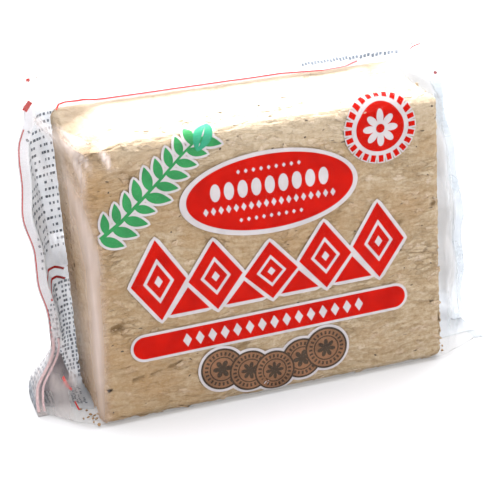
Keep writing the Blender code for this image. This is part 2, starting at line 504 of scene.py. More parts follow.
def make_block_tree():
    """A brick of flaky halva from its named sizes."""
    tree, given, out = tree_with(
        "flaky block", "GeometryNodeTree",
        [("Geometry", GEOMETRY, None), ("Size", VECTOR, (0.1, 0.1, 0.1)), ("Cell", FLOAT, 0.001),
         ("Edge Radius", FLOAT, 0.003), ("Plate Length", FLOAT, 0.0062),
         ("Plate Thickness", FLOAT, 0.0021), ("Plate Depth", FLOAT, 0.0006),
         ("Crack Depth", FLOAT, 0.0012), ("Grit Depth", FLOAT, 0.0003),
         ("Crumble Depth", FLOAT, 0.0022), ("Top Rise", FLOAT, 0.0),
         ("Slump Centre", VECTOR, (0.0, 0.0, 0.0)), ("Slump Radius", FLOAT, 0.015),
         ("Slump Depth", FLOAT, 0.003), ("Material", MATERIAL, None)],
        [("Geometry", GEOMETRY)],
    )
    size = given["Size"]
    cell = vector_of(tree, X=given["Cell"], Y=given["Cell"], Z=given["Cell"])
    counts = axes_of(tree, vector_calc(tree, "DIVIDE", size, cell))
    cube = add(tree, "GeometryNodeMeshCube", {"Size": size})
    feed(tree, cube, {"Vertices " + axis: counts[axis] for axis in "XYZ"})
    position = add(tree, "GeometryNodeInputPosition").outputs[0]
    half = vector_calc(tree, "MULTIPLY", size, HALVES)
    edge_radius = given["Edge Radius"]
    radius = vector_of(tree, X=edge_radius, Y=edge_radius, Z=edge_radius)
    reach = vector_calc(tree, "SUBTRACT", half, radius)
    low = vector_calc(tree, "MULTIPLY", reach, (-1.0, -1.0, -1.0))
    core = vector_calc(tree, "MAXIMUM", vector_calc(tree, "MINIMUM", position, reach), low)
    outward = vector_calc(tree, "NORMALIZE", vector_calc(tree, "SUBTRACT", position, core))
    skin = vector_calc(tree, "ADD", core, stretched(tree, outward, edge_radius))

    raised, crack, _, _ = plate_pattern(
        tree, position, given["Plate Length"], given["Plate Thickness"],
    )
    plate = remap(tree, raised, 0.80, 0.22)
    grit = noise(tree, position, 420.0, 3.0, 0.65)
    parts = axes_of(tree, vector_calc(tree, "ABSOLUTE", outward))
    most = calc(tree, "MAXIMUM", parts[0], calc(tree, "MAXIMUM", parts[1], parts[2]))
    edge = remap(tree, most, 1.0, 0.75)
    crumble = times(tree, edge, remap(tree, noise(tree, position, 260.0, 3.0, 0.6), 0.35, 0.7))
    distance = add(
        tree, "ShaderNodeVectorMath", {0: position, 1: given["Slump Centre"]}, operation="DISTANCE",
    )
    share = calc(tree, "DIVIDE", distance.outputs["Value"], given["Slump Radius"])
    ragged = plus(tree, share, times(tree, noise(tree, position, 160.0, 3.0), 0.5))
    slump = remap(tree, ragged, 1.25, 0.5)

    depth = times(tree, grit, given["Grit Depth"])
    for mask, reach_in in ((plate, "Plate Depth"), (crack, "Crack Depth"),
                           (crumble, "Crumble Depth"), (slump, "Slump Depth")):
        depth = plus(tree, depth, times(tree, mask, given[reach_in]))
    inward = stretched(tree, outward, times(tree, depth, -1.0))
    extent = axes_of(tree, half)
    where = axes_of(tree, position)
    back = calc(tree, "DIVIDE", plus(tree, where["Y"], extent["Y"]), extent["Y"])
    back = calc(tree, "POWER", remap(tree, back, 0.0, 1.75), 3.6)
    upper = remap(tree, calc(tree, "DIVIDE", where["Z"], extent["Z"]), 0.2, 1.0)
    rise = times(tree, times(tree, back, upper), given["Top Rise"])
    lift = vector_of(tree, Z=plus(tree, extent["Z"], rise))
    placed = vector_calc(tree, "ADD", vector_calc(tree, "ADD", skin, inward), lift)

    # Painted shade: the cracks and the sunken plates are stored as darker in the crevice attribute.
    shadow = times(tree, calc(tree, "POWER", plate, 3.0), 0.22)
    crevice = calc(tree, "MINIMUM", plus(tree, times(tree, crack, 0.22), shadow), 1.0)
    kept = add(
        tree, "GeometryNodeStoreNamedAttribute",
        {"Geometry": cube.outputs["Mesh"], "Name": "crevice", "Value": crevice},
        data_type="FLOAT", domain="POINT",
    )
    moved = add(tree, "GeometryNodeSetPosition", {"Geometry": kept.outputs[0], "Position": placed})
    smooth = add(tree, "GeometryNodeSetShadeSmooth", {"Geometry": moved.outputs[0]})
    real = add(tree, "GeometryNodeRealizeInstances", {"Geometry": smooth.outputs[0]})
    dress(tree, real.outputs[0], given["Material"], out)
    return tree


BLOCK_TREE = make_block_tree()
block = run_tree("halva_block", bpy.data.meshes.new("seed"), BLOCK_TREE, {
    "Size": (BLOCK_LENGTH, BLOCK_DEPTH, BLOCK_HEIGHT),
    "Cell": BLOCK_CELL,
    "Edge Radius": 3.0 * MM,
    "Plate Length": 4.4 * MM,
    "Plate Thickness": 1.3 * MM,
    "Plate Depth": 0.34 * MM,
    "Crack Depth": 0.16 * MM,
    "Grit Depth": 0.34 * MM,
    "Crumble Depth": 0.9 * MM,
    "Top Rise": 4.2 * MM,
    "Slump Centre": (-0.061, -0.019, 0.0475),
    "Slump Radius": 17.0 * MM,
    "Slump Depth": 4.0 * MM,
    "Material": HALVA,
})
block.data.transform(Matrix.Translation((0, 0, BLOCK_LIFT)))

FLAW_LAYER = 1.5 * MM
# start and end of a flaw, its reach, its depth and how dark it is
FRONT_FLAWS = (
    ((-53.6, 33.4), (-51.6, 34.0), 1.1, 1.4, 1.00),
    ((-48.8, 14.6), (-45.6, 15.2), 0.55, 0.4, 0.90),
    ((-43.0, 15.5), (-39.6, 16.3), 0.45, 0.3, 0.70),
    ((-36.5, 17.0), (-32.5, 18.0), 0.55, 0.4, 0.90),
    ((57.8, 57.6), (60.0, 58.4), 0.75, 0.3, 1.00),
    ((45.6, 53.0), (46.2, 53.2), 0.80, 0.3, 1.00),
    ((-41.0, 30.6), (-39.6, 31.4), 0.8, 0.4, 0.60),
    ((-46.0, 84.5), (-43.0, 81.5), 1.3, 0.7, 0.45),
    ((-51.0, 3.4), (-50.2, 3.6), 1.5, -0.35, 0.00),
)


def flaw_front(mesh):
    """Presses the front's few large gaps and specks in, and raises its one pale lump."""
    count = len(mesh.vertices)
    places = np.empty(count * 3)
    mesh.vertices.foreach_get("co", places)
    places = places.reshape(count, 3)
    front_shade_and_husk = np.empty(count)
    mesh.attributes["crevice"].data.foreach_get("value", front_shade_and_husk)
    front = places[:, 1] < -BLOCK_DEPTH / 2 + FLAW_LAYER
    x = places[:, 0] / MM
    z = places[:, 2] / MM
    for (ax, az), (bx, bz), reach, depth, darkness in FRONT_FLAWS:
        length = math.hypot(bx - ax, bz - az)
        share = np.clip(((x - ax) * (bx - ax) + (z - az) * (bz - az)) / length**2, 0.0, 1.0)
        away = np.hypot(x - ax - share * (bx - ax), z - az - share * (bz - az))
        mask = np.clip(1.6 - away / reach, 0.0, 1.0) * front
        places[:, 1] += mask * depth * MM
        # Painted shade in the pressed-in pits and cracks, and the dark of husk at the specks.
        front_shade_and_husk = np.maximum(front_shade_and_husk, mask * darkness)
    mesh.vertices.foreach_set("co", places.ravel())
    mesh.attributes["crevice"].data.foreach_set("value", front_shade_and_husk)


flaw_front(block.data)
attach(block, "root")
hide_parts("halva_pack")
print("block", len(block.data.vertices), "points", len(block.data.polygons), "faces")

# %% [markdown]
# ## The form of the film
#
# The film is a tube that lies on the block, with its slack in a pleat along the top rear edge. At
# each end the tube closes to an upright seal at mid-depth, whose top stands up as an ear and whose
# bottom is kicked out along the table as a foot. It is one grid: rings along the pack, and points
# round each ring. A cloth simulation could crumple it, but then the CAD form and the prints would
# no longer lie where they belong, so the grid is written as a rule and creased along listed paths.

# %% Sizes of the film
FILM_STAND_OFF = 0.4 * MM
BOTTOM_RADIUS = 3.4 * MM
TOP_RADIUS = 4.2 * MM
PLEAT_RISE = 7.5 * MM
PLEAT_SETBACK = 2.2 * MM
PLEAT_DROP = 2.2 * MM
PLEAT_SHARPNESS = 3.6
REAR_SEAM_WIDTH = 10.0 * MM
REAR_SEAM_HEIGHT = 50.0 * MM
REAR_SEAM_RISE = 0.5 * MM
EAR_START = 42.0 * MM
EAR_PEAK_DEPTH = 7.0 * MM
EAR_DROP = 8.5 * MM
EAR_SHARPNESS = 1.15
SEAL_THICKNESS = 1.0 * MM
SEAL_WIDTH = 3.6 * MM
SEAL_CLEARANCE = 0.9 * MM
EDGE_WAVE = 0.5 * MM
EDGE_WAVE_LENGTH = 21.0 * MM
FRONT_SWELL = 1.15
REAR_SWELL = 1.9
FLOOR_SWELL = 1.0
LEFT_END = {
    "side": -1, "ear_rise": 11.5 * MM, "foot_front": 2.0 * MM, "foot_rear": 15.0 * MM,
    "foot_height": 25.0 * MM, "foot_curve": 1.05,
    "edge": (
        (0.000, 0.0792), (0.009, 0.0788), (0.025, 0.0712), (0.045, 0.0734),
        (0.075, 0.0758), (0.092, 0.0743), (0.1045, 0.0712), (0.1145, 0.0690),
    ),
}
RIGHT_END = {
    "side": 1, "ear_rise": 9.5 * MM, "foot_front": 8.5 * MM, "foot_rear": 8.5 * MM,
    "foot_height": 22.0 * MM, "foot_curve": 1.4,
    "edge": (
        (0.000, 0.0810), (0.014, 0.0782), (0.028, 0.0776), (0.048, 0.0780),
        (0.070, 0.0745), (0.090, 0.0702), (0.1090, 0.0660),
    ),
}
BOTTOM_STEPS = 14
CORNER_STEPS = 6
PANEL_STEPS = 60
PLEAT_FRONT_STEPS = 28
PLEAT_REAR_STEPS = 7
REAR_STEPS = 27
BODY_STEPS = 108
GUSSET_STEPS = 24
SEAL_STEPS = 5
HALF_LENGTH = BLOCK_LENGTH / 2 + FILM_STAND_OFF
HALF_DEPTH = BLOCK_DEPTH / 2 + FILM_STAND_OFF
TOP = BLOCK_HEIGHT + FILM_STAND_OFF
FRONT_START = BOTTOM_STEPS
PEAK = BOTTOM_STEPS + 2 * CORNER_STEPS + PANEL_STEPS + PLEAT_FRONT_STEPS
print("the front panel starts at point", FRONT_START, "and the ridge is point", PEAK)

# %% [markdown]
# ### The tube over the block
#
# One section of the tube is a list of points round the block. It starts at the rear of the base,
# goes forward under the block, up the front, over the top to the ridge of the pleat, and down the
# rear past the seam that a flow-wrap has there.

# %% Section of the tube


def mix(a, b, share):
    """The value that lies the given share of the way from a to b."""
    return a + (b - a) * share


def ease(share):
    """A share from 0 to 1 that starts and stops gently."""
    share = min(max(share, 0.0), 1.0)
    return share * share * (3.0 - 2.0 * share)


def line(start, end, steps):
    """Points along a straight run, without its first point."""
    shares = [i / steps for i in range(1, steps + 1)]
    return [(mix(start[0], end[0], share), mix(start[1], end[1], share)) for share in shares]


def arc(centre, radius, start, end):
    """Points round a corner, in degrees, without its first point."""
    points = []
    for i in range(1, CORNER_STEPS + 1):
        angle = math.radians(mix(start, end, i / CORNER_STEPS))
        points.append((centre[0] + radius * math.cos(angle), centre[1] + radius * math.sin(angle)))
    return points


def top_run(peak, rear, sharpness):
    """The film over the top: it leaves the block towards a peak, then falls to the rear panel."""
    start = (-HALF_DEPTH + TOP_RADIUS, TOP)
    points = []
    for i in range(1, PLEAT_FRONT_STEPS + 1):
        share = i / PLEAT_FRONT_STEPS
        points.append((mix(start[0], peak[0], share), mix(TOP, peak[1], share**sharpness)))
    return points + line(peak, rear, PLEAT_REAR_STEPS)


def section(ear, ear_rise):
    """The film round the block. ear is 0 in the middle of the pack and 1 at the block's end."""
    peak_depth = mix(HALF_DEPTH - PLEAT_SETBACK, EAR_PEAK_DEPTH, ear)
    peak = (peak_depth, TOP + mix(PLEAT_RISE, ear_rise, ear))
    rear = (HALF_DEPTH, peak[1] - mix(PLEAT_DROP, EAR_DROP, ear))
    base = HALF_DEPTH - BOTTOM_RADIUS
    seam_top = REAR_SEAM_HEIGHT + REAR_SEAM_WIDTH / 2
    seam_bottom = REAR_SEAM_HEIGHT - REAR_SEAM_WIDTH / 2
    seam_face = HALF_DEPTH + REAR_SEAM_RISE
    points = [(base, 0.0)]
    points += line((base, 0.0), (-base, 0.0), BOTTOM_STEPS)
    points += arc((-base, BOTTOM_RADIUS), BOTTOM_RADIUS, 270, 180)
    points += line((-HALF_DEPTH, BOTTOM_RADIUS), (-HALF_DEPTH, TOP - TOP_RADIUS), PANEL_STEPS)
    points += arc((-HALF_DEPTH + TOP_RADIUS, TOP - TOP_RADIUS), TOP_RADIUS, 180, 90)
    points += top_run(peak, rear, mix(PLEAT_SHARPNESS, EAR_SHARPNESS, ear))
    points += line(rear, (HALF_DEPTH, seam_top + REAR_SEAM_RISE), REAR_STEPS)
    points += [(seam_face, seam_top), (seam_face, seam_bottom)]
    points += [(HALF_DEPTH, seam_bottom - REAR_SEAM_RISE)]
    points += line(points[-1], (HALF_DEPTH, BOTTOM_RADIUS), REAR_STEPS)
    points += arc((base, BOTTOM_RADIUS), BOTTOM_RADIUS, 0, -90)[:-1]
    return points


print("points round a section", len(section(0.0, 0.0)))

# %% [markdown]
# ### The ends of the tube
#
# Past the block every point of the ring moves to its place on the flat seal. The film can't
# stretch, so a point keeps its share of the way round, and that gives its height on the seal.

# %% Rings of the film


def edge_distance(end, height):
    """How far the seal's outer edge is from the middle of the block at a height."""
    pairs = end["edge"]
    distance = pairs[-1][1]
    for (low, near), (high, far) in zip(pairs, pairs[1:]):
        if height <= high:
            distance = mix(near, far, ease((height - low) / (high - low)))
            break
    return distance + EDGE_WAVE * math.sin(2 * math.pi * height / EDGE_WAVE_LENGTH)


def seal_heights(points, end):
    """Each point's height on the flat seal."""
    top = end["edge"][-1][0]
    heights = [0.0] * len(points)
    ring = points + points[:1]
    steps = [math.dist(a, b) for a, b in zip(ring, ring[1:])]
    front = sum(steps[FRONT_START:PEAK])
    rear = sum(steps[PEAK:])
    for i in range(FRONT_START, PEAK + 1):
        heights[i] = top * sum(steps[FRONT_START:i]) / front
    for i in range(PEAK + 1, len(points)):
        heights[i] = top * sum(steps[i:]) / rear
    return heights


def seal_depth(end, index, height):
    """Where a point lies in depth on the closed seal, with the foot near the floor."""
    spread = max(0.0, 1.0 - height / end["foot_height"]) ** end["foot_curve"]
    front = -(SEAL_THICKNESS / 2 + end["foot_front"] * spread)
    rear = SEAL_THICKNESS / 2 + end["foot_rear"] * spread
    if index < FRONT_START:
        return mix(rear, front, index / FRONT_START)
    if index == PEAK:
        return 0.0
    return front if index < PEAK else rear


def swell(index, share):
    """How much of its depth the film still has at a share of the way to the seal."""
    if index <= FRONT_START:
        power = FLOOR_SWELL
    else:
        power = FRONT_SWELL if index < PEAK else REAR_SWELL
    return (1.0 - share**power) ** (1.0 / power)


def end_rings(end):
    """The rings of film from the end of the block out to the seal's outer edge."""
    points = section(1.0, end["ear_rise"])
    heights = seal_heights(points, end)
    rings = []
    for step in range(1, GUSSET_STEPS + 1):
        share = step / GUSSET_STEPS
        ring = []
        for i, (depth, height) in enumerate(points):
            seal = max(edge_distance(end, heights[i]) - SEAL_WIDTH, HALF_LENGTH + SEAL_CLEARANCE)
            x = end["side"] * mix(HALF_LENGTH, seal, share)
            y = mix(seal_depth(end, i, heights[i]), depth, swell(i, share))
            ring.append((x, y, mix(height, heights[i], share)))
        rings.append(ring)
    for step in range(1, SEAL_STEPS + 1):
        ring = []
        for x, depth, height in rings[GUSSET_STEPS - 1]:
            reach = mix(abs(x), edge_distance(end, height), step / SEAL_STEPS)
            ring.append((end["side"] * reach, depth, height))
        rings.append(ring)
    return rings


def body_rings():
    """The rings of film along the block, from the left end to the right one."""
    rings = []
    for step in range(BODY_STEPS + 1):
        x = mix(-HALF_LENGTH, HALF_LENGTH, step / BODY_STEPS)
        end = LEFT_END if x < 0 else RIGHT_END
        ear = ease((abs(x) - EAR_START) / (HALF_LENGTH - EAR_START))
        rings.append([(x, depth, height) for depth, height in section(ear, end["ear_rise"])])
    return rings


FILM_RULE = np.array(end_rings(LEFT_END)[::-1] + body_rings() + end_rings(RIGHT_END))
END_STEPS = GUSSET_STEPS + SEAL_STEPS
RINGS = FILM_RULE.shape[0]
POINTS = FILM_RULE.shape[1]
print("film grid", RINGS, "rings of", POINTS, "points")

# %% [markdown]
# ### Creases
#
# Thin film never lies quite flat. Over the block it is held tight, so only its edges are softened
# there. In the gussets and over the top it wanders, and it keeps sharp folds where it was
# gathered. The folds are set as listed paths on the film, because that is what makes this pack
# look handled and not inflated. The same pass stores how milky the film looks at each point. The
# seals are milky in themselves; along the folds the milk is partly real and partly painted
# highlight, and the broad band down the front-left edge is painted highlight.

# %% Creased grid
# layer, path, height of the fold, its width and how milky it is, painted highlight included
CREASES = (
    # The first four folds at the top left corner are white with painted highlight.
    ("front", ((-62.5, 99.0), (-59.0, 96.0), (-54.0, 94.6)), 0.6, 1.4, 0.95),
    ("front", ((-63.0, 98.0), (-60.4, 92.5), (-58.4, 85.0), (-58.8, 78.0)), 0.6, 1.9, 0.75),
    ("front", ((-61.5, 96.5), (-57.4, 91.5), (-55.2, 86.0)), 0.35, 1.7, 0.70),
    ("front", ((-53.0, 94.4), (-50.6, 91.0), (-49.6, 86.5)), 0.30, 1.5, 0.90),
    # The next two rows make the broad band down the front-left edge: painted highlight, the shine of
    # the rounded film there.
    ("front", ((-63.5, 96.0), (-60.5, 74.0), (-58.6, 56.0), (-59.5, 34.0), (-61.0, 6.0)),
     0.25, 5.0, 0.80),
    ("front", ((-58.6, 46.0), (-59.4, 30.0), (-60.2, 12.0), (-60.0, -12.0)), 0.15, 4.0, 0.50),
    ("front", ((-62.0, 84.0), (-57.0, 62.0), (-56.4, 50.0)), 0.25, 2.2, 0.34),
    ("front", ((-64.5, 99.0), (-62.5, 84.0), (-63.2, 60.0)), 0.3, 1.2, 0.22),
    ("front", ((-69.0, 103.0), (-66.8, 100.0), (-62.2, 93.7)), 1.3, 2.4, 0.42),
    ("front", ((-71.5, 92.0), (-67.0, 86.0), (-62.0, 84.5)), 0.8, 2.6, 0.16),
    ("front", ((-70.5, 70.0), (-65.5, 58.0), (-63.5, 40.0), (-64.5, 26.0)), 0.9, 2.4, 0.14),
    ("front", ((-71.0, 36.0), (-67.0, 22.0), (-66.5, 4.0)), 1.4, 2.2, 0.30),
    ("front", ((-75.0, 9.0), (-69.0, 13.0), (-64.0, 20.0)), 1.0, 2.2, 0.26),
    ("front", ((-64.0, 12.0), (-63.0, 30.0), (-62.6, 44.0)), 0.5, 1.8, 0.12),
    ("front", ((61.4, 84.0), (65.0, 72.0), (68.6, 60.0), (69.6, 48.0)), 1.2, 1.9, 0.45),
    ("front", ((62.0, 66.0), (65.6, 50.0), (68.8, 36.0)), 0.7, 2.6, 0.30),
    ("front", ((73.0, 33.0), (70.4, 16.4), (66.0, 5.0)), 1.3, 2.4, 0.36),
    ("front", ((78.0, 9.0), (71.0, 12.0), (64.0, 16.0)), 0.9, 2.4, 0.34),
    ("front", ((62.4, 30.0), (64.2, 18.0), (62.6, 4.0)), 0.5, 2.0, 0.30),
    ("rear", ((-69.0, 96.0), (-66.0, 70.0), (-64.0, 44.0)), 1.2, 3.0, 0.05),
    ("rear", ((-70.0, 60.0), (-65.5, 40.0), (-64.0, 16.0)), 1.0, 2.6, 0.05),
    ("rear", ((-55.0, 92.0), (-30.0, 84.0), (-8.0, 86.0)), 0.5, 3.0, 0.05),
    ("rear", ((60.0, 90.0), (40.0, 74.0), (12.0, 70.0)), 0.5, 3.4, 0.05),
    ("rear", ((68.0, 92.0), (66.0, 60.0), (69.0, 30.0), (74.0, 8.0)), 1.3, 3.0, 0.05),
)
EDGE_SOFTENING = 5
EDGE_REACH = 5
TENT_MIDDLE = 40.0
TENT_HALF_WIDTH = 19.0
TENT_START = 91.5
TENT_TOP = 98.5
TENT_END = 115.0
TENT_RISE = 2.6 * MM
WANDER = 0.75 * MM
WANDER_SCALE = 75.0
FINE_WANDER = 2.7
WANDER_SHARES = (0.6, 0.4)
LOOSE_START = 61.6
LOOSE_WIDTH = 4.0
TOP_LOOSE_START = 12.0
TOP_LOOSE_WIDTH = 6.0
TOP_LOOSE_SHARE = 0.5
TOP_LOOSE_FROM = 60.0
BASE_HAZE = 0.003
SEAL_HAZE = 0.30
FOOT_HAZE = 0.50
FOOT_HAZE_MIDDLE = 72.0
FOOT_HAZE_REACH = 3.6
FOOT_HAZE_HEIGHT = 17.0


def outward_normals(grid):
    """Unit normals of the film grid, facing out of the tube."""
    along = np.gradient(grid, axis=0)
    around = np.roll(grid, -1, axis=1) - np.roll(grid, 1, axis=1)
    normals = np.cross(along, around)
    lengths = np.linalg.norm(normals, axis=2, keepdims=True)
    return normals / np.maximum(lengths, 1e-12)


def distance_to_path(x, z, path):
    """Each grid point's distance from a path, and its share of the way along it."""
    nearest = np.full(x.shape, 1e9)
    share = np.zeros(x.shape)
    runs = len(path) - 1
    for i, ((ax, az), (bx, bz)) in enumerate(zip(path, path[1:])):
        length = math.hypot(bx - ax, bz - az)
        along = ((x - ax) * (bx - ax) + (z - az) * (bz - az)) / length**2
        held = np.clip(along, 0.0, 1.0)
        away = np.hypot(x - mix(ax, bx, held), z - mix(az, bz, held))
        closer = away < nearest
        nearest = np.where(closer, away, nearest)
        share = np.where(closer, (i + held) / runs, share)
    return nearest, share


def soften_ends(grid):
    """Rounds the film's upright edges at both ends of the block."""
    softened = grid.copy()
    for edge in (END_STEPS, RINGS - 1 - END_STEPS):
        for _ in range(EDGE_SOFTENING):
            low = edge - EDGE_REACH
            high = edge + EDGE_REACH + 1
            part = softened[low - 1:high + 1]
            softened[low:high] = 0.25 * part[:-2] + 0.5 * part[1:-1] + 0.25 * part[2:]
    return softened


def front_lengths():
    """Length of film from the floor up to each point of the front and the top."""
    points = section(0.0, 0.0)
    steps = [math.dist(a, b) for a, b in zip(points, points[1:])]
    lengths = np.concatenate([[0.0], np.cumsum(steps)])
    panel = FRONT_START + CORNER_STEPS
    return (lengths - lengths[panel] + BOTTOM_RADIUS)[FRONT_START:PEAK + 1]


def tent_rise(x):
    """The slack over the front's right top corner, where the film stands off the block."""
    lengths = np.full(POINTS, -1.0)
    lengths[FRONT_START:PEAK + 1] = front_lengths() / MM
    climb = np.clip((lengths - TENT_START) / (TENT_TOP - TENT_START), 0.0, 1.0)
    fall = np.clip((TENT_END - lengths) / (TENT_END - TENT_TOP), 0.0, 1.0)
    window = np.clip(1.0 - np.abs(x - TENT_MIDDLE) / TENT_HALF_WIDTH, 0.0, 1.0)
    rise = np.sin(climb * math.pi / 2) * fall**1.3
    return TENT_RISE * rise[None, :] * np.sin(window * math.pi / 2) ** 1.2


def film_wander(grid):
    """Slow noise at each grid point, in two sizes."""
    slow, fine = WANDER_SHARES
    return np.array([
        [math.fsum((slow * math_noise.noise(p * WANDER_SCALE),
                    fine * math_noise.noise(p * WANDER_SCALE * FINE_WANDER)))
         for p in (Vector(point) for point in row)]
        for row in grid
    ])


def crease_film():
    """The film grid with its folds, and its haze, which holds painted highlight too."""
    grid = soften_ends(FILM_RULE)
    normals = outward_normals(grid)
    x = grid[..., 0] / MM
    z = grid[..., 2] / MM
    index = np.arange(POINTS)
    layers = {"front": (index > FRONT_START) & (index < PEAK), "rear": index > PEAK}
    move = np.zeros(x.shape)
    haze_and_highlight = np.full(x.shape, BASE_HAZE)
    for layer, path, height, width, milk_and_highlight in CREASES:
        away, share = distance_to_path(x, z, path)
        ridge = np.clip(1.0 - away / width, 0.0, 1.0) ** 1.6
        ridge = ridge * np.sin(np.pi * np.clip(share, 0.06, 0.94))
        ridge = ridge * layers[layer]
        move += height * MM * ridge
        haze_and_highlight += milk_and_highlight * ridge
    loose = np.clip((np.abs(x) - LOOSE_START) / LOOSE_WIDTH, 0.0, 1.0)
    top = np.clip((grid[..., 1] / MM - TOP_LOOSE_START) / TOP_LOOSE_WIDTH, 0.0, 1.0)
    loose = np.maximum(loose, top * (z > TOP_LOOSE_FROM) * TOP_LOOSE_SHARE)
    ring = np.arange(RINGS)
    from_end = np.minimum(ring, RINGS - 1 - ring) / SEAL_STEPS
    inside_seals = np.clip(from_end - 0.6, 0.0, 1.0)[:, None]
    move += WANDER * film_wander(grid) * loose * inside_seals
    foot = np.clip(1.0 - np.abs(-x - FOOT_HAZE_MIDDLE) / FOOT_HAZE_REACH, 0.0, 1.0) ** 0.5
    foot = foot * np.clip(1.6 - z / FOOT_HAZE_HEIGHT, 0.0, 1.0)
    haze_and_highlight += FOOT_HAZE * foot * layers["front"]
    seal = from_end[:, None] < 1.0
    haze_and_highlight = np.where(seal, np.maximum(haze_and_highlight, SEAL_HAZE), haze_and_highlight)
    grid[..., 2] += tent_rise(x)
    return grid + normals * move[..., None], haze_and_highlight


FILM, FILM_HAZE_AND_HIGHLIGHT = crease_film()
FILM[..., 2] = np.maximum(FILM[..., 2], 0.0)
print("film box", FILM.min(axis=(0, 1)).round(4), FILM.max(axis=(0, 1)).round(4))

# %% [markdown]
# ### The finish of the film
#
# The film is clear, so light passes straight through it and only its shine, its milky folds and
# its fine ripples show. Part of the milk is painted highlight: a white layer, pink at the left and
# blue at the right, where the shine of the lamps would be. A glass shader would bend the light as
# a thick block would, and turn slow and dark where layers overlap. So the film is a thin
# transparent layer with a mirror-like coat that follows Fresnel's rule. The ripples are a group,
# because the inks lie on the same film.

# %% Ripple group and clear film
RIPPLE_DRIFT_SCALE = 40.0
RIPPLE_DRIFT = 0.05
RIPPLE_STRETCH = (1.0, 1.0, 0.22)
RIPPLE_FINENESS = 3.1
RIB_PITCH = 0.0015
FILM_RIPPLE = 0.0016
FILM_INDEX = 1.10
FILM_CLEAR = (0.985, 0.985, 0.985, 1.0)
FILM_ROUGHNESS = 0.09
MILK_AND_HIGHLIGHT_LEFT = (0.90, 0.80, 0.78, 1.0)
MILK_AND_HIGHLIGHT_RIGHT = (0.72, 0.80, 0.86, 1.0)
MILK_AND_HIGHLIGHT_CHANGE = (0.055, 0.062)
MILK_AND_HIGHLIGHT_THROUGH = 0.4


def make_ripple():
    """Height of the film's fine ripples, and of the ribs of its crimped seals."""
    tree, given, out = tree_with(
        "film ripple", "ShaderNodeTree",
        [("Position", VECTOR, None), ("Scale", FLOAT, 90.0), ("Crimp", FLOAT, 0.0)],
        [("Height", FLOAT), ("Streak", FLOAT)],
    )
    position = given["Position"]
    bend = noise(tree, position, RIPPLE_DRIFT_SCALE, 1.0)
    drift = vector_of(tree, X=times(tree, bend, RIPPLE_DRIFT))
    moved = vector_calc(tree, "ADD", position, drift)
    soft = noise(tree, vector_calc(tree, "MULTIPLY", moved, RIPPLE_STRETCH), given["Scale"])
    fine = noise(tree, moved, times(tree, given["Scale"], RIPPLE_FINENESS))
    height = plus(tree, soft, times(tree, fine, 0.25))
    level = axes_of(tree, position)["Z"]
    rib = calc(tree, "SINE", times(tree, level, 2 * math.pi / RIB_PITCH))
    rib = times(tree, times(tree, rib, 0.22), given["Crimp"])
    feed(tree, out, {"Height": plus(tree, height, rib), "Streak": remap(tree, soft, 0.52, 0.66)})
    return tree


RIPPLE = make_ripple()


def clear_film_material():
    """Thin clear film: see-through, glossy, and milky where it is folded, with painted highlight in
    the milk.
    """
    material, tree, _ = new_material("clear_film")
    tree.nodes.clear()
    place = add(tree, "ShaderNodeTexCoord").outputs["Object"]
    haze_and_highlight = add(tree, "ShaderNodeAttribute", attribute_name="haze_and_highlight").outputs["Fac"]
    crimp = add(tree, "ShaderNodeAttribute", attribute_name="crimp").outputs["Fac"]
    given = {"Position": place, "Crimp": crimp}
    ripple = add(tree, "ShaderNodeGroup", given, node_tree=RIPPLE).outputs
    bump = {"Height": ripple["Height"], "Distance": FILM_RIPPLE, "Strength": 0.8}
    normal = add(tree, "ShaderNodeBump", bump).outputs[0]
    behind = add(tree, "ShaderNodeNewGeometry").outputs["Backfacing"]
    index = minus(tree, FILM_INDEX, times(tree, behind, FILM_INDEX - 1 / FILM_INDEX))
    shine = add(tree, "ShaderNodeFresnel", {"IOR": index, "Normal": normal}).outputs[0]
    clear = add(tree, "ShaderNodeBsdfTransparent", {"Color": FILM_CLEAR}).outputs[0]
    # Painted highlight: the milk is tinted pink at the left and blue at the right, as the shine there
    # looks.
    right = remap(tree, axes_of(tree, place)["X"], *MILK_AND_HIGHLIGHT_CHANGE)
    tone = mixed(tree, right, MILK_AND_HIGHLIGHT_LEFT, MILK_AND_HIGHLIGHT_RIGHT)
    front = add(tree, "ShaderNodeBsdfDiffuse", {"Color": tone, "Normal": normal}).outputs[0]
    through = add(tree, "ShaderNodeBsdfTranslucent", {"Color": tone}).outputs[0]
    milk_and_highlight = mixed_shader(tree, MILK_AND_HIGHLIGHT_THROUGH, front, through)
    share = times(tree, haze_and_highlight, remap(tree, ripple["Streak"], 0.0, 1.0, 0.8, 1.5))
    body = mixed_shader(tree, share, clear, milk_and_highlight)
    shiny = {"Roughness": FILM_ROUGHNESS, "Normal": normal}
    gloss = add(tree, "ShaderNodeBsdfGlossy", shiny).outputs[0]
    film = mixed_shader(tree, shine, body, gloss)
    add(tree, "ShaderNodeOutputMaterial", {"Surface": film})
    return material


CLEAR_FILM = clear_film_material()
print("film finish ready")

# %% [markdown]
# ### The film as a mesh
#
# The grid becomes one closed skin. Its two outer rings are closed across, as the cut edges of the
# seals are.

# %% Film mesh


def keep(name, mesh, material=None):
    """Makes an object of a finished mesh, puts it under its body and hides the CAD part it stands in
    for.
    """
    if material is not None:
        mesh.materials.append(material)
    mesh.name = name
    piece = put(name, mesh)
    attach(piece, "root")
    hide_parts("halva_pack")
    return piece


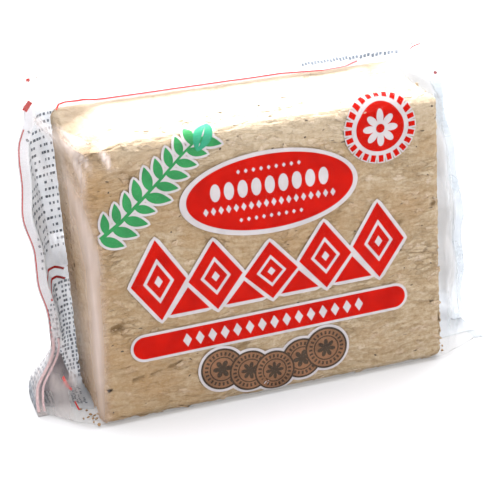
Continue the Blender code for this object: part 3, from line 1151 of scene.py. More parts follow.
def film_mesh():
    """The closed skin of the film with its haze attribute, which holds painted highlight too, and its
    crimp attribute.
    """
    bm = bmesh.new()
    verts = [[bm.verts.new(point) for point in ring] for ring in FILM]
    for ring, following in zip(verts, verts[1:]):
        for i, vert in enumerate(ring):
            j = (i + 1) % POINTS
            bm.faces.new((vert, following[i], following[j], ring[j]))
    for ring, side in ((verts[0], -1), (verts[-1], 1)):
        edges = [bm.edges.get((a, b)) for a, b in zip(ring, ring[1:] + ring[:1])]
        bmesh.ops.triangle_fill(bm, edges=edges, use_beauty=True, normal=(side, 0, 0))
    bmesh.ops.recalc_face_normals(bm, faces=bm.faces)
    for face in bm.faces:
        face.smooth = True
    mesh = bpy.data.meshes.new("film")
    bm.to_mesh(mesh)
    bm.free()
    ring = np.arange(RINGS)
    crimp = (np.minimum(ring, RINGS - 1 - ring) < SEAL_STEPS - 1).astype(float)
    crimp = np.repeat(crimp[:, None], POINTS, axis=1)
    for label, values in (("haze_and_highlight", FILM_HAZE_AND_HIGHLIGHT), ("crimp", crimp)):
        layer = mesh.attributes.new(label, "FLOAT", "POINT")
        layer.data.foreach_set("value", values.ravel())
    return mesh


film = keep("film", film_mesh(), CLEAR_FILM)
print("film", len(film.data.vertices), "points")

# %% [markdown]
# ## Laying ink on the film
#
# The film is printed flat and then wrapped, so each print is drawn flat first, in millimetres
# across and up the panel, and then laid on the film. Up the front panel the second coordinate is
# the length of film from the floor, so a print that runs over the rounded top edge bends with it.
# An image texture would do the same with one picture, but drawn shapes stay sharp when the part
# comes close, and their sizes can be changed by name.

# %% Places on the film
FILM_NORMALS = outward_normals(FILM)
FRONT_LENGTHS = front_lengths()
FRONT_POINTS = np.arange(FRONT_START, PEAK + 1)
REAR_POINTS = np.arange(POINTS - 1, PEAK - 1, -1)


def ring_at(x, point):
    """The ring where the film has a place along the pack, at a point of the section."""
    return float(np.interp(x, FILM_RULE[:, int(round(point)), 0], np.arange(RINGS)))


def film_at(ring, point, depth):
    """A place on the film between grid points, sunk below its face by a depth."""
    ring = min(max(ring, 0.0), RINGS - 1.001)
    i = int(ring)
    u = ring - i
    v = point - math.floor(point)
    j = math.floor(point) % POINTS
    k = (j + 1) % POINTS
    weights = ((1 - u) * (1 - v), u * (1 - v), (1 - u) * v, u * v)
    corners = ((i, j), (i + 1, j), (i, k), (i + 1, k))
    place = sum(w * FILM[c] for w, c in zip(weights, corners))
    normal = sum(w * FILM_NORMALS[c] for w, c in zip(weights, corners))
    return place - normal * depth / max(np.linalg.norm(normal), 1e-9)


def on_front(x, length, depth):
    """A place on the front or over the top, by its length of film from the floor."""
    point = float(np.interp(length, FRONT_LENGTHS, FRONT_POINTS))
    return film_at(ring_at(x, point), point, depth)


def on_rear(x, height, depth):
    """A place on the rear, by its height. Below zero it goes on forwards under the pack."""
    if height < 0.0:
        middle = POINTS - height / (BLOCK_DEPTH / BOTTOM_STEPS)
        return film_at(ring_at(x, 0), middle, depth)
    middle = POINTS - 2 * CORNER_STEPS
    for _ in range(2):
        ring = int(round(ring_at(x, middle)))
        middle = float(np.interp(height, FILM_RULE[ring, REAR_POINTS, 2], REAR_POINTS))
    return film_at(ring_at(x, middle), middle, depth)


print("film length up the front", FRONT_LENGTHS[0].round(4), "to", FRONT_LENGTHS[-1].round(4))

# %% [markdown]
# ### Ink as thin closed layers
#
# Ink has no thickness to the eye, but a closed layer keeps its two faces apart and survives every
# export. A flat outline is filled with triangles, cut finer where the film bends, and each point
# is laid on the film twice: once for the outer face and once for the inner one.

# %% Ink helpers
INK_THICKNESS = 0.03 * MM
THIN_INK = 0.01 * MM
FILL_STEP = 1.1 * MM
BEND_START = 88.0 * MM


def circle(centre, radius, count=64, squash=1.0):
    """Points of a circle or an ellipse, in millimetres."""
    angles = [2 * math.pi * i / count for i in range(count)]
    return [
        (centre[0] + radius * math.cos(angle), centre[1] + radius * squash * math.sin(angle))
        for angle in angles
    ]


def inside(point, loop):
    """Whether a point lies inside an outline."""
    found = False
    for (ax, ay), (bx, by) in zip(loop, loop[1:] + loop[:1]):
        if (ay > point[1]) != (by > point[1]):
            cross = ax + (point[1] - ay) / (by - ay) * (bx - ax)
            found = found != (point[0] < cross)
    return found


def finer(loop, step):
    """The same outline with no edge longer than a step."""
    points = []
    for a, b in zip(loop, loop[1:] + loop[:1]):
        count = max(1, math.ceil(math.dist(a, b) / step))
        points += [(mix(a[0], b[0], i / count), mix(a[1], b[1], i / count)) for i in range(count)]
    return points


def fill(loops, merged=False):
    """Triangles inside outlines in millimetres. Merged outlines become one shape; otherwise an
    outline inside another one is a hole."""
    loops = [[(x * MM, z * MM) for x, z in loop] for loop in loops]
    bends = max(z for loop in loops for _, z in loop) > BEND_START
    if bends:
        loops = [finer(loop, FILL_STEP) for loop in loops]
    points = []
    edges = []
    for loop in loops:
        first = len(points)
        points += loop
        edges += [(first + i, first + (i + 1) % len(loop)) for i in range(len(loop))]
    if bends:
        xs = [x for loop in loops for x, _ in loop]
        zs = [z for loop in loops for _, z in loop]
        low = max(min(zs), BEND_START - FILL_STEP)
        for x in np.arange(min(xs), max(xs), FILL_STEP):
            for z in np.arange(low, max(zs), FILL_STEP * 0.8):
                if sum(inside((x, z), loop) for loop in loops) % 2:
                    points.append((float(x), float(z)))
    made = geometry.delaunay_2d_cdt([Vector(p) for p in points], edges, [], 0, 1e-7)
    places = [tuple(p) for p in made[0]]
    faces = []
    for face in made[2]:
        middle = tuple(sum(places[i][axis] for i in face) / 3 for axis in (0, 1))
        covers = sum(inside(middle, loop) for loop in loops)
        if covers and (merged or covers % 2):
            faces.append(tuple(face))
    used = sorted({i for face in faces for i in face})
    new_index = {old: new for new, old in enumerate(used)}
    return [places[i] for i in used], [tuple(new_index[i] for i in face) for face in faces]


def thicken(outer, inner, faces):
    """A closed layer from the points of its two faces and the triangles of its outer one."""
    count = len(outer)
    pairs = {}
    for face in faces:
        for a, b in zip(face, face[1:] + face[:1]):
            pairs[(a, b)] = True
    sides = [(b, a, a + count, b + count) for a, b in pairs if (b, a) not in pairs]
    back = [tuple(i + count for i in reversed(face)) for face in faces]
    mesh = bpy.data.meshes.new("ink")
    mesh.from_pydata([tuple(p) for p in [*outer, *inner]], [], faces + back + sides)
    bm = bmesh.new()
    bm.from_mesh(mesh)
    bmesh.ops.recalc_face_normals(bm, faces=bm.faces)
    bm.to_mesh(mesh)
    bm.free()
    mesh.shade_flat()
    return mesh


def lay(points, faces, depth, place=on_front, thickness=INK_THICKNESS):
    """Lays a flat filled shape on the film as a closed layer of ink."""
    outer = [place(x, z, depth) for x, z in points]
    inner = [place(x, z, depth + thickness) for x, z in points]
    return thicken(outer, inner, faces)


def join(name, meshes, material):
    """One piece of several meshes."""
    bm = bmesh.new()
    for mesh in meshes:
        bm.from_mesh(mesh)
        bpy.data.meshes.remove(mesh)
    made = bpy.data.meshes.new(name)
    bm.to_mesh(made)
    bm.free()
    return keep(name, made, material)


def ink(name, shapes, depth, slot, material, place=on_front, merged=False, thickness=INK_THICKNESS):
    """One piece of ink from a list of shapes, each a list of outlines."""
    parts = [lay(*fill(loops, merged), depth, place, thickness) for loops in shapes]
    return join(name, parts, material)


def spread(loop, by):
    """The outline moved outwards by a distance, for a rim round a shape."""
    moved = []
    count = len(loop)
    area = sum(a[0] * b[1] - b[0] * a[1] for a, b in zip(loop, loop[1:] + loop[:1]))
    sign = 1.0 if area > 0 else -1.0
    for i, (x, z) in enumerate(loop):
        before = loop[i - 1]
        after = loop[(i + 1) % count]
        dx = after[0] - before[0]
        dz = after[1] - before[1]
        length = math.hypot(dx, dz) or 1.0
        moved.append((x + sign * by * dz / length, z - sign * by * dx / length))
    return moved


print("ink helpers ready")

# %% [markdown]
# ### The finish of the inks
#
# Ink printed inside a clear film is matte itself, and gets its shine from the film over it. Each
# colour wavers a little in density, as flexographic print does. The white ink of the label lets
# some light through, so the inside of the pack glows where light falls on its back.

# %% Ink materials
INK_RIPPLE = 0.0005


def ink_material(name, colour, dense_colour, glow=0.0, passing=0.0):
    """Ink of one colour that wavers to a denser one. A thin ink glows and lets light pass on."""
    material, tree, shader = new_material(name)
    place = add(tree, "ShaderNodeTexCoord").outputs["Object"]
    waver = remap(tree, noise(tree, place, 160.0, 3.0, 0.6), 0.38, 0.68)
    toned = mixed(tree, waver, (*colour, 1.0), (*dense_colour, 1.0))
    ripple = add(tree, "ShaderNodeGroup", {"Position": place}, node_tree=RIPPLE).outputs["Height"]
    bump = add(tree, "ShaderNodeBump", {"Height": ripple, "Distance": INK_RIPPLE}).outputs[0]
    feed(tree, shader, {
        "Base Color": toned, "Normal": bump, "Specular IOR Level": 0.04,
        "Roughness": remap(tree, waver, 0.0, 1.0, 0.42, 0.55),
    })
    if glow:
        through = add(tree, "ShaderNodeBsdfTranslucent", {"Color": toned}).outputs[0]
        glowing = mixed_shader(tree, glow, shader.outputs[0], through)
        shadow = add(tree, "ShaderNodeLightPath").outputs["Is Shadow Ray"]
        clear = add(tree, "ShaderNodeBsdfTransparent").outputs[0]
        thin = mixed_shader(tree, times(tree, shadow, passing), glowing, clear)
        feed(tree, tree.nodes["Material Output"], {"Surface": thin})
    return material


RED_INK = ink_material("red_ink", (0.56, 0.006, 0.001), (0.43, 0.004, 0.001))
PALE_INK = ink_material("pale_ink", (0.62, 0.575, 0.585), (0.54, 0.50, 0.51))
PINK_INK = ink_material("pink_ink", (0.78, 0.56, 0.57), (0.66, 0.45, 0.47))
LABEL_INK = ink_material("label_ink", (0.80, 0.815, 0.84), (0.73, 0.75, 0.78), 0.42, 0.42)
GREEN_INK = ink_material("green_ink", (0.045, 0.300, 0.095), (0.035, 0.220, 0.075))
LEAF_INK = ink_material("leaf_ink", (0.050, 0.350, 0.200), (0.035, 0.270, 0.155))
BRONZE_INK = ink_material("bronze_ink", (0.29, 0.145, 0.080), (0.19, 0.100, 0.058))
DARK_INK = ink_material("dark_ink", (0.080, 0.056, 0.040), (0.052, 0.038, 0.028))
# Grey tint at the left foot: partly dense print, partly painted shade.
PRINT_AND_SHADE_TINT_INK = ink_material("print_and_shade_tint_ink", (0.50, 0.47, 0.52), (0.36, 0.34, 0.40), 0.30, 0.3)
GREY_INK = ink_material("grey_ink", (0.26, 0.29, 0.34), (0.17, 0.20, 0.24), 0.42, 0.42)
print("inks", [m.name for m in bpy.data.materials if m.name.endswith("_ink")])

# %% [markdown]
# ## Rows of small marks
#
# Wherever the print carries fine detail it gets rows of plain marks: lozenges in the oval and in
# the banner, ticks round the badge and the discs, dashes on the rear label. They all repeat along
# a path, so one Geometry Nodes tree makes them. It works flat; the ink helper then lays each mark
# on the film.

# %% Marks along a path
RIM_DEPTH = 0.32 * MM
FIELD_DEPTH = 0.26 * MM
MARK_DEPTH = 0.20 * MM
PALE_RIM = (RIM_DEPTH, "pale_print", PALE_INK)
PALE_MARK = (MARK_DEPTH, "pale_print", PALE_INK)
RED_FIELD = (FIELD_DEPTH, "red_print", RED_INK)


def drawn(tree, seed):
    """A random number from -1 to 1 for each point."""
    made = add(tree, "FunctionNodeRandomValue", {"Seed": seed, 2: -1.0, 3: 1.0}, data_type="FLOAT")
    return made.outputs[1]


def make_marks_tree():
    """Marks set along a path at an even pitch, each with its own small change of size."""
    tree, given, out = tree_with(
        "marks along a path", "GeometryNodeTree",
        [("Geometry", GEOMETRY, None), ("Count", INTEGER, 10), ("Corners", INTEGER, 4),
         ("Mark Length", FLOAT, 0.002), ("Mark Height", FLOAT, 0.002),
         ("Length Variation", FLOAT, 0.0), ("Shift", FLOAT, 0.0), ("Skip", FLOAT, 0.0),
         ("Turn", FLOAT, 0.0), ("Seed", INTEGER, 1), ("Material", MATERIAL, None)],
        [("Geometry", GEOMETRY)],
    )
    seed = given["Seed"]
    path = add(tree, "GeometryNodeMeshToCurve", {"Mesh": given["Geometry"]}).outputs[0]
    even = add(tree, "GeometryNodeCurveToPoints", {"Curve": path, "Count": given["Count"]}).outputs
    corners = {"Radius": 0.5, "Vertices": given["Corners"]}
    mark = add(tree, "GeometryNodeMeshCircle", corners, fill_type="NGON").outputs[0]
    spin = {"Geometry": mark, "Rotation": vector_of(tree, Z=given["Turn"])}
    turned = add(tree, "GeometryNodeTransform", spin).outputs[0]
    tangent = {"Vector": even["Tangent"]}
    across = add(tree, "FunctionNodeAlignRotationToVector", tangent, axis="X").outputs[0]
    factor = plus(tree, 1.0, times(tree, drawn(tree, seed), given["Length Variation"]))
    length = times(tree, given["Mark Length"], factor)
    sway = times(tree, drawn(tree, plus(tree, seed, 50)), given["Shift"])
    slide = {"Geometry": even[0], "Offset": stretched(tree, even["Tangent"], sway)}
    shifted = add(tree, "GeometryNodeSetPosition", slide).outputs[0]
    chance = {"Seed": plus(tree, seed, 90), "Probability": given["Skip"]}
    dropped = add(tree, "FunctionNodeRandomValue", chance, data_type="BOOLEAN").outputs[3]
    front_shade_and_husk = {"Geometry": shifted, "Selection": dropped}
    thinned = add(tree, "GeometryNodeDeleteGeometry", front_shade_and_husk, domain="POINT").outputs[0]
    placed = add(tree, "GeometryNodeInstanceOnPoints", {
        "Points": thinned, "Instance": turned, "Rotation": across,
        "Scale": vector_of(tree, X=length, Y=given["Mark Height"], Z=1.0),
    })
    real = add(tree, "GeometryNodeRealizeInstances", {"Geometry": placed.outputs[0]})
    dress(tree, real.outputs[0], given["Material"], out)
    return tree


def path_mesh(path):
    """A path in millimetres as a mesh of edges."""
    mesh = bpy.data.meshes.new("path")
    edges = [(i, i + 1) for i in range(len(path) - 1)]
    mesh.from_pydata([(x * MM, z * MM, 0.0) for x, z in path], edges, [])
    return mesh


def outlines_of(made):
    """The outline of each face of an object, in millimetres. The object is removed."""
    places = [(vertex.co.x / MM, vertex.co.y / MM) for vertex in made.data.vertices]
    loops = [[places[i] for i in face.vertices] for face in made.data.polygons]
    bpy.data.objects.remove(made)
    return loops


MARKS_TREE = make_marks_tree()


def marks(paths, count, length, height, corners=4, turn=0.0, variation=0.0, seed=1, shift=0.0,
          skip=0.0):
    """Outlines of marks along flat paths, in millimetres, as a list of shapes for ink."""
    shapes = []
    for number, path in enumerate(paths):
        made = run_tree("marks", path_mesh(path), MARKS_TREE, {
            "Count": count, "Corners": corners, "Mark Length": length * MM,
            "Mark Height": height * MM, "Length Variation": variation, "Shift": shift * MM,
            "Skip": skip, "Turn": math.radians(turn), "Seed": seed + number, "Material": PALE_INK,
        })
        shapes += [[loop] for loop in outlines_of(made)]
    return shapes


def ring_marks(path, count, length, height):
    """Upright ticks round a closed path, without the one that its two ends share."""
    return marks([path + path[:1]], count, length, height, turn=45.0)[:-1]


print("marks tree", len(MARKS_TREE.nodes), "nodes")

# %% [markdown]
# ## The prints of the front panel
#
# From the top: an oval with rows of beads and lozenges, a round badge at the right corner, a green
# sprig at the left, a band of five tall lozenges whose tops follow an arch, a banner, and five
# overlapping round discs. Every field sits on a pale rim, as white ink is printed under colour on
# clear film.

# %% Oval and badge
OVAL_CENTRE = (1.2, 71.5)
OVAL_RIM = (30.1, 14.0)
OVAL_FIELD_CENTRE = (1.5, 71.65)
OVAL_FIELD = (28.2, 12.5)
# left end, right end, height, count, mark length, mark height and corners
OVAL_ROWS = (
    (-17.0, 19.5, 74.0, 9, 3.4, 6.0, 14), (-20.5, 22.5, 68.0, 18, 1.8, 2.8, 4),
    (-9.0, 11.4, 63.6, 9, 1.3, 1.6, 4), (-9.0, 11.4, 79.8, 9, 1.3, 1.6, 4),
)
BADGE_CENTRE = (39.7, 86.8)
BADGE_RADIUS = 8.3
BADGE_RIM = 1.2
BADGE_SQUASH = 0.93
BADGE_POINTS = 72
BADGE_PETALS = 8
BADGE_PETAL_REACH = (2.6, 6.0)
BADGE_HOLE = 1.5
TICK_RING = 11.0
TICK_COUNT = 25
TICK_SIZE = (2.3, 3.2)
TICK_RIM = 0.65


def ellipse(centre, radii):
    """Points of an ellipse with two radii."""
    return circle(centre, radii[0], 96, radii[1] / radii[0])


def rosette(centre, petals, inner, outer, turn=0.0):
    """A flower of round petals as one outline."""
    points = []
    count = petals * 12
    for i in range(count):
        angle = 2 * math.pi * i / count
        radius = mix(inner, outer, abs(math.cos(petals * angle / 2)) ** 0.8)
        points.append((
            centre[0] + radius * math.cos(angle + turn),
            centre[1] + radius * math.sin(angle + turn),
        ))
    return points


ink("oval_rim", [[ellipse(OVAL_CENTRE, OVAL_RIM)]], *PALE_RIM)
ink("oval_field", [[ellipse(OVAL_FIELD_CENTRE, OVAL_FIELD)]], *RED_FIELD)
OVAL_MARKS = [
    shape for left, right, level, *sizes in OVAL_ROWS
    for shape in marks([[(left, level), (right, level)]], *sizes)
]
ink("oval_marks", OVAL_MARKS, *PALE_MARK)

TICK_PATH = circle(BADGE_CENTRE, TICK_RING, 96, BADGE_SQUASH)
TICKS = ring_marks(TICK_PATH, TICK_COUNT, *TICK_SIZE)
BADGE_RIMS = [circle(BADGE_CENTRE, BADGE_RADIUS + BADGE_RIM, BADGE_POINTS, BADGE_SQUASH)]
BADGE_RIMS += [spread(tick[0], TICK_RIM) for tick in TICKS]
BADGE_FLOWER = rosette(BADGE_CENTRE, BADGE_PETALS, *BADGE_PETAL_REACH)
ink("badge_rim", [BADGE_RIMS], *PALE_RIM, merged=True)
ink("badge_ticks", TICKS, *RED_FIELD)
ink("badge_field", [[circle(BADGE_CENTRE, BADGE_RADIUS, BADGE_POINTS, BADGE_SQUASH)]], *RED_FIELD)
ink("badge_flower", [[BADGE_FLOWER, circle(BADGE_CENTRE, BADGE_HOLE, 24)]], *PALE_MARK)
print("oval and badge ready")

# %% [markdown]
# The band is the boldest field of the front. Five tall red lozenges, each with a pale inner frame
# and a small pale heart, stand side by side under an arch, with a triangle between their feet, as
# in a woven border.

# %% Band of lozenges
BAND_COUNT = 5
BAND_PITCH = 18.9
BAND_BOTTOM = 34.6
BAND_TOP_ENDS = 61.8
BAND_TOP_MIDDLE = 54.6
BAND_SLOPE = 0.25
BAND_RIM = 1.2
LOZENGE_WIDTH = 18.3
LOZENGE_WAIST = 0.47
FRAME_SCALES = (0.56, 0.43, 0.15)
TRIANGLE_SCALE = 0.70


def scaled(loop, factor):
    """The outline shrunk or grown about its middle."""
    middle = [sum(p[axis] for p in loop) / len(loop) for axis in (0, 1)]
    return [(mix(middle[0], x, factor), mix(middle[1], z, factor)) for x, z in loop]


def lozenge(step):
    """The lozenge at a step from the middle of the band."""
    centre = step * BAND_PITCH
    bottom = BAND_BOTTOM + BAND_SLOPE * step
    top = mix(BAND_TOP_MIDDLE, BAND_TOP_ENDS, abs(step) / 2.0)
    waist = mix(bottom, top, LOZENGE_WAIST)
    half = LOZENGE_WIDTH / 2
    return [(centre, bottom), (centre + half, waist), (centre, top), (centre - half, waist)]


def foot_triangle(left, right):
    """The triangle between the feet of two neighbouring lozenges."""
    apex = ((left[1][0] + right[3][0]) / 2, (left[1][1] + right[3][1]) / 2)
    return scaled([left[0], right[0], apex], TRIANGLE_SCALE)


LOZENGES = [lozenge(i - (BAND_COUNT - 1) / 2) for i in range(BAND_COUNT)]
TRIANGLES = [foot_triangle(a, b) for a, b in zip(LOZENGES, LOZENGES[1:])]
BAND_SHAPES = [finer(loop, 1.0) for loop in LOZENGES + TRIANGLES]
BAND_FRAMES = [[scaled(loop, factor) for factor in FRAME_SCALES] for loop in LOZENGES]
ink("band_rim", [[spread(loop, BAND_RIM) for loop in BAND_SHAPES]], *PALE_RIM, merged=True)
ink("band_field", [[loop] for loop in BAND_SHAPES], *RED_FIELD)
ink("band_frames", BAND_FRAMES, *PALE_MARK)
print("lozenges", len(LOZENGES), "triangles", len(TRIANGLES))

# %% [markdown]
# The banner is a long pill that rises slightly to the right, and the discs below it overlap like
# coins laid in a row.

# %% Banner and discs
BANNER_LEFT = (-44.2, 25.4)
BANNER_RIGHT = (42.9, 26.9)
BANNER_HALF_HEIGHT = 3.9
BANNER_RIM = 0.95
BANNER_ROW = ((-30.0, 25.6), (30.0, 26.7))
BANNER_MARKS = (15, 3.0, 4.8)
DISCS = (
    (-19.0, 12.7, 7.4), (-9.5, 10.2, 7.2), (-1.0, 8.6, 7.1), (8.8, 11.0, 7.2), (17.6, 13.1, 7.5),
)
DISC_ORDER = (0, 1, 3, 2, 4)
DISC_RIM = 0.9
DISC_STEP = 0.035 * MM
DISC_FIELD_STEP = 0.02 * MM
DISC_RINGS = (0.91, 0.60, 0.54)
DISC_TICK_RING = 0.74
DISC_TICKS = (25, 1.0, 1.7)
DISC_STAR = (0.18, 0.44)
DISC_STAR_TURN = 0.4


def pill(left, right, half_height):
    """A bar with round ends."""
    slope = math.atan2(right[1] - left[1], right[0] - left[0])
    points = []
    for centre, start in ((right, -90), (left, 90)):
        for i in range(25):
            angle = math.radians(start + 180 * i / 24) + slope
            x = centre[0] + half_height * math.cos(angle)
            points.append((x, centre[1] + half_height * math.sin(angle)))
    return points


BANNER = (BANNER_LEFT, BANNER_RIGHT)
ink("banner_rim", [[pill(*BANNER, BANNER_HALF_HEIGHT + BANNER_RIM)]], *PALE_RIM)
ink("banner_field", [[pill(*BANNER, BANNER_HALF_HEIGHT)]], *RED_FIELD)
ink("banner_marks", marks([BANNER_ROW], *BANNER_MARKS), *PALE_MARK)

DISC_RIMS = [circle((x, z), radius + DISC_RIM, 56) for x, z, radius in DISCS]
ink("disc_rims", [DISC_RIMS], *PALE_RIM, merged=True)
for step, number in enumerate(DISC_ORDER):
    x, z, radius = DISCS[number]
    depth = FIELD_DEPTH - DISC_STEP * step
    name = "disc_%d_" % (number + 1)
    ticks = ring_marks(circle((x, z), radius * DISC_TICK_RING, 64), *DISC_TICKS)
    outer, inner, core = [radius * share for share in DISC_RINGS]
    low, high = [radius * share for share in DISC_STAR]
    star = rosette((x, z), 6 + number % 3, low, high, DISC_STAR_TURN * number)
    band = [circle((x, z), outer, 56), circle((x, z), inner, 48)]
    field = [band + [tick[0] for tick in ticks], [circle((x, z), core, 48), star]]
    ink(name + "edge", [[circle((x, z), radius, 56)]], depth, "grey_print", DARK_INK)
    ink(name + "field", field, depth - DISC_FIELD_STEP, "bronze_print", BRONZE_INK,
        thickness=THIN_INK)
print("banner and discs ready")

# %% [markdown]
# ## The green sprig
#
# At the upper left of the panel a green sprig runs up to the right, with pairs of leaves on both
# sides of its stem and one larger leaf at its tip. The leaves repeat along a path, so a second
# Geometry Nodes tree sets them: a drawn leaf goes to each point of the stem, turned to alternate
# sides.

# %% Sprig
STEM = ((-55.0, 65.0), (-48.0, 69.5), (-41.0, 75.5), (-34.0, 81.5), (-27.0, 88.0), (-21.5, 92.5))
TIP_LEAF = ((-21.8, 88.6), (-16.2, 100.4))
TIP_VEIN_ENDS = ((-21.2, 89.9), (-17.9, 96.8))
TIP_WIDTHS = (6.0, 0.5)
STEM_WIDTH = 1.3
SPRIG_RIM = 0.8
LEAF_SIZE = (7.8, 3.2)
LEAF_COUNT = 19
LEAF_SPREAD = 58.0
LEAF_VARIATION = 0.14
LEAF_SEED = 4


def leaf_outline(length, width, count=18):
    """A pointed leaf along its own first axis, in millimetres."""
    points = []
    for side in (1, -1):
        for i in range(count):
            share = i / count if side == 1 else 1.0 - i / count
            half = width / 2 * math.sin(math.pi * share**0.82) ** 0.9
            points.append((length * share, side * half))
    return points


def make_sprig_tree():
    """Leaves in turn on both sides of a stem."""
    tree, given, out = tree_with(
        "leaves on a stem", "GeometryNodeTree",
        [("Geometry", GEOMETRY, None), ("Leaf", "NodeSocketObject", None), ("Count", INTEGER, 14),
         ("Spread", FLOAT, 0.8), ("Size Variation", FLOAT, 0.1), ("Seed", INTEGER, 3),
         ("Material", MATERIAL, None)],
        [("Geometry", GEOMETRY)],
    )
    path = add(tree, "GeometryNodeMeshToCurve", {"Mesh": given["Geometry"]}).outputs[0]
    even = add(tree, "GeometryNodeCurveToPoints", {"Curve": path, "Count": given["Count"]}).outputs
    odd = calc(tree, "MODULO", add(tree, "GeometryNodeInputIndex").outputs[0], 2.0)
    side = minus(tree, times(tree, odd, 2.0), 1.0)
    tangent = {"Vector": even["Tangent"]}
    along = add(tree, "FunctionNodeAlignRotationToVector", tangent, axis="X").outputs[0]
    turn = {"Rotation": along, "Rotate By": vector_of(tree, Z=times(tree, side, given["Spread"]))}
    turned = add(tree, "FunctionNodeRotateRotation", turn, rotation_space="LOCAL").outputs[0]
    size = plus(tree, 1.0, times(tree, drawn(tree, given["Seed"]), given["Size Variation"]))
    leaf = add(tree, "GeometryNodeObjectInfo", {"Object": given["Leaf"]}).outputs["Geometry"]
    placed = add(tree, "GeometryNodeInstanceOnPoints", {
        "Points": even[0], "Instance": leaf, "Rotation": turned, "Scale": size,
    })
    real = add(tree, "GeometryNodeRealizeInstances", {"Geometry": placed.outputs[0]})
    dress(tree, real.outputs[0], given["Material"], out)
    return tree


SPRIG_TREE = make_sprig_tree()


def leaves_on_stem():
    """Outlines of the leaves along the stem, in millimetres."""
    outline = [(x * MM, z * MM, 0.0) for x, z in leaf_outline(*LEAF_SIZE)]
    leaf_mesh = bpy.data.meshes.new("leaf")
    leaf_mesh.from_pydata(outline, [], [tuple(range(len(outline)))])
    leaf = bpy.data.objects.new("leaf", leaf_mesh)
    made = run_tree("sprig", path_mesh(STEM), SPRIG_TREE, {
        "Leaf": leaf, "Count": LEAF_COUNT, "Spread": math.radians(LEAF_SPREAD),
        "Size Variation": LEAF_VARIATION, "Seed": LEAF_SEED, "Material": GREEN_INK,
    })
    loops = outlines_of(made)
    bpy.data.objects.remove(leaf)
    return loops


def stem_outline(width):
    """The stem as a tapering ribbon."""
    upper = []
    lower = []
    for i, (x, z) in enumerate(STEM):
        before = STEM[max(i - 1, 0)]
        after = STEM[min(i + 1, len(STEM) - 1)]
        length = math.dist(before, after)
        across = (-(after[1] - before[1]) / length, (after[0] - before[0]) / length)
        half = width / 2 * (1.0 - 0.5 * i / (len(STEM) - 1))
        upper.append((x + across[0] * half, z + across[1] * half))
        lower.append((x - across[0] * half, z - across[1] * half))
    return lower + upper[::-1]


def leaf_between(start, end, width):
    """A leaf drawn from one place to another."""
    turn = math.atan2(end[1] - start[1], end[0] - start[0])
    return [(start[0] + x * math.cos(turn) - z * math.sin(turn),
             start[1] + x * math.sin(turn) + z * math.cos(turn))
            for x, z in leaf_outline(math.dist(start, end), width)]


LEAVES = leaves_on_stem()
SPRIG_LOOPS = LEAVES + [stem_outline(STEM_WIDTH)]
TIP = leaf_between(*TIP_LEAF, TIP_WIDTHS[0])
TIP_VEIN = leaf_between(*TIP_VEIN_ENDS, TIP_WIDTHS[1])
SPRIG_RIMS = [spread(loop, SPRIG_RIM) for loop in SPRIG_LOOPS + [TIP]]
ink("sprig_rim", [SPRIG_RIMS], *PALE_RIM, merged=True)
ink("sprig", [SPRIG_LOOPS], FIELD_DEPTH, "green_print", GREEN_INK, merged=True)
ink("sprig_tip", [[TIP, TIP_VEIN]], MARK_DEPTH, "green_print", LEAF_INK)
print("leaves", len(LEAVES))

# %% [markdown]
# ## The white label round the back
#
# Behind the block the tube is printed white. The white starts at a thin red line that runs along
# the rear of the top face, goes over the pleat, down the whole back and on under the pack, and
# reaches out to both seals. Through the clear gusset at the left its inner side shows, with rows
# of fine print as plain dashes. The label follows the film's own grid, so it keeps every fold. The
# lines on it are paths too, so they are given as places on that grid, ring and point.

# %% Label
LABEL_START = (
    (0, 118), (8, 119), (20, 118), (24, 114), (29, 108), (33, 109), (39, 111), (99, 111),
    (112, 110), (119, 110.4), (125, 113), (130, 117), (136, 120), (146, 121), (166, 121),
)
LABEL_END = POINTS + 9
LABEL_ROWS = 104
LABEL_DEPTH = 0.10 * MM
LABEL_THICKNESS = 0.05 * MM
LINE_DEPTH = 0.06 * MM
LINE_THICKNESS = 0.13 * MM
PINK_DEPTH = 0.12 * MM
THIN_LINE = 0.04 * MM
LABEL_INK_LAYER = (LABEL_DEPTH, "pale_print", LABEL_INK)
FOOT_STEPS = 14
FOOT_OVERLAP = 0.2
# path and width of each line
PINK_LINES = (
    ([(1.0, 36.0), (1.0, 30.0), (1.0, 24.0), (1.0, 16.0)], 0.9),
    ([(3.4, 36.0), (3.6, 30.0), (3.6, 24.0), (3.6, 16.0)], 0.7),
)
FLAP_MARKS = (([(10.0, 27.6), (16.0, 25.6)], 1.2), ([(18.0, 23.2), (20.0, 21.4)], 0.8))
RED_LINES = (
    ([(29, 105.5), (30.5, 108.2), (33, 109.6), (39, 111.25), (99, 111.25), (112, 110.25)], 0.5),
    ([(112, 110.25), (119, 110.6), (123, 111.8)], 0.3),
    ([(0.9, 122), (0.9, 136), (0.9, 150), (0.9, 164), (0.9, 176)], 0.40),
    ([(0.2, 101.6), (3.4, 104.8)], 1.6),
    ([(0.9, 112.4), (0.9, 113.6)], 1.1),
    ([(28, 152.4), (20, 151.6), (12, 151.9), (5, 152.6)], 0.85),
    ([(28, 154.8), (20, 154.0), (12, 154.3), (4, 155.2)], 0.85),
    ([(139, 113.2), (150, 113.0), (159, 112.6)], 0.3),
    ([(164.6, 99.0), (165.6, 98.2)], 1.0),
)


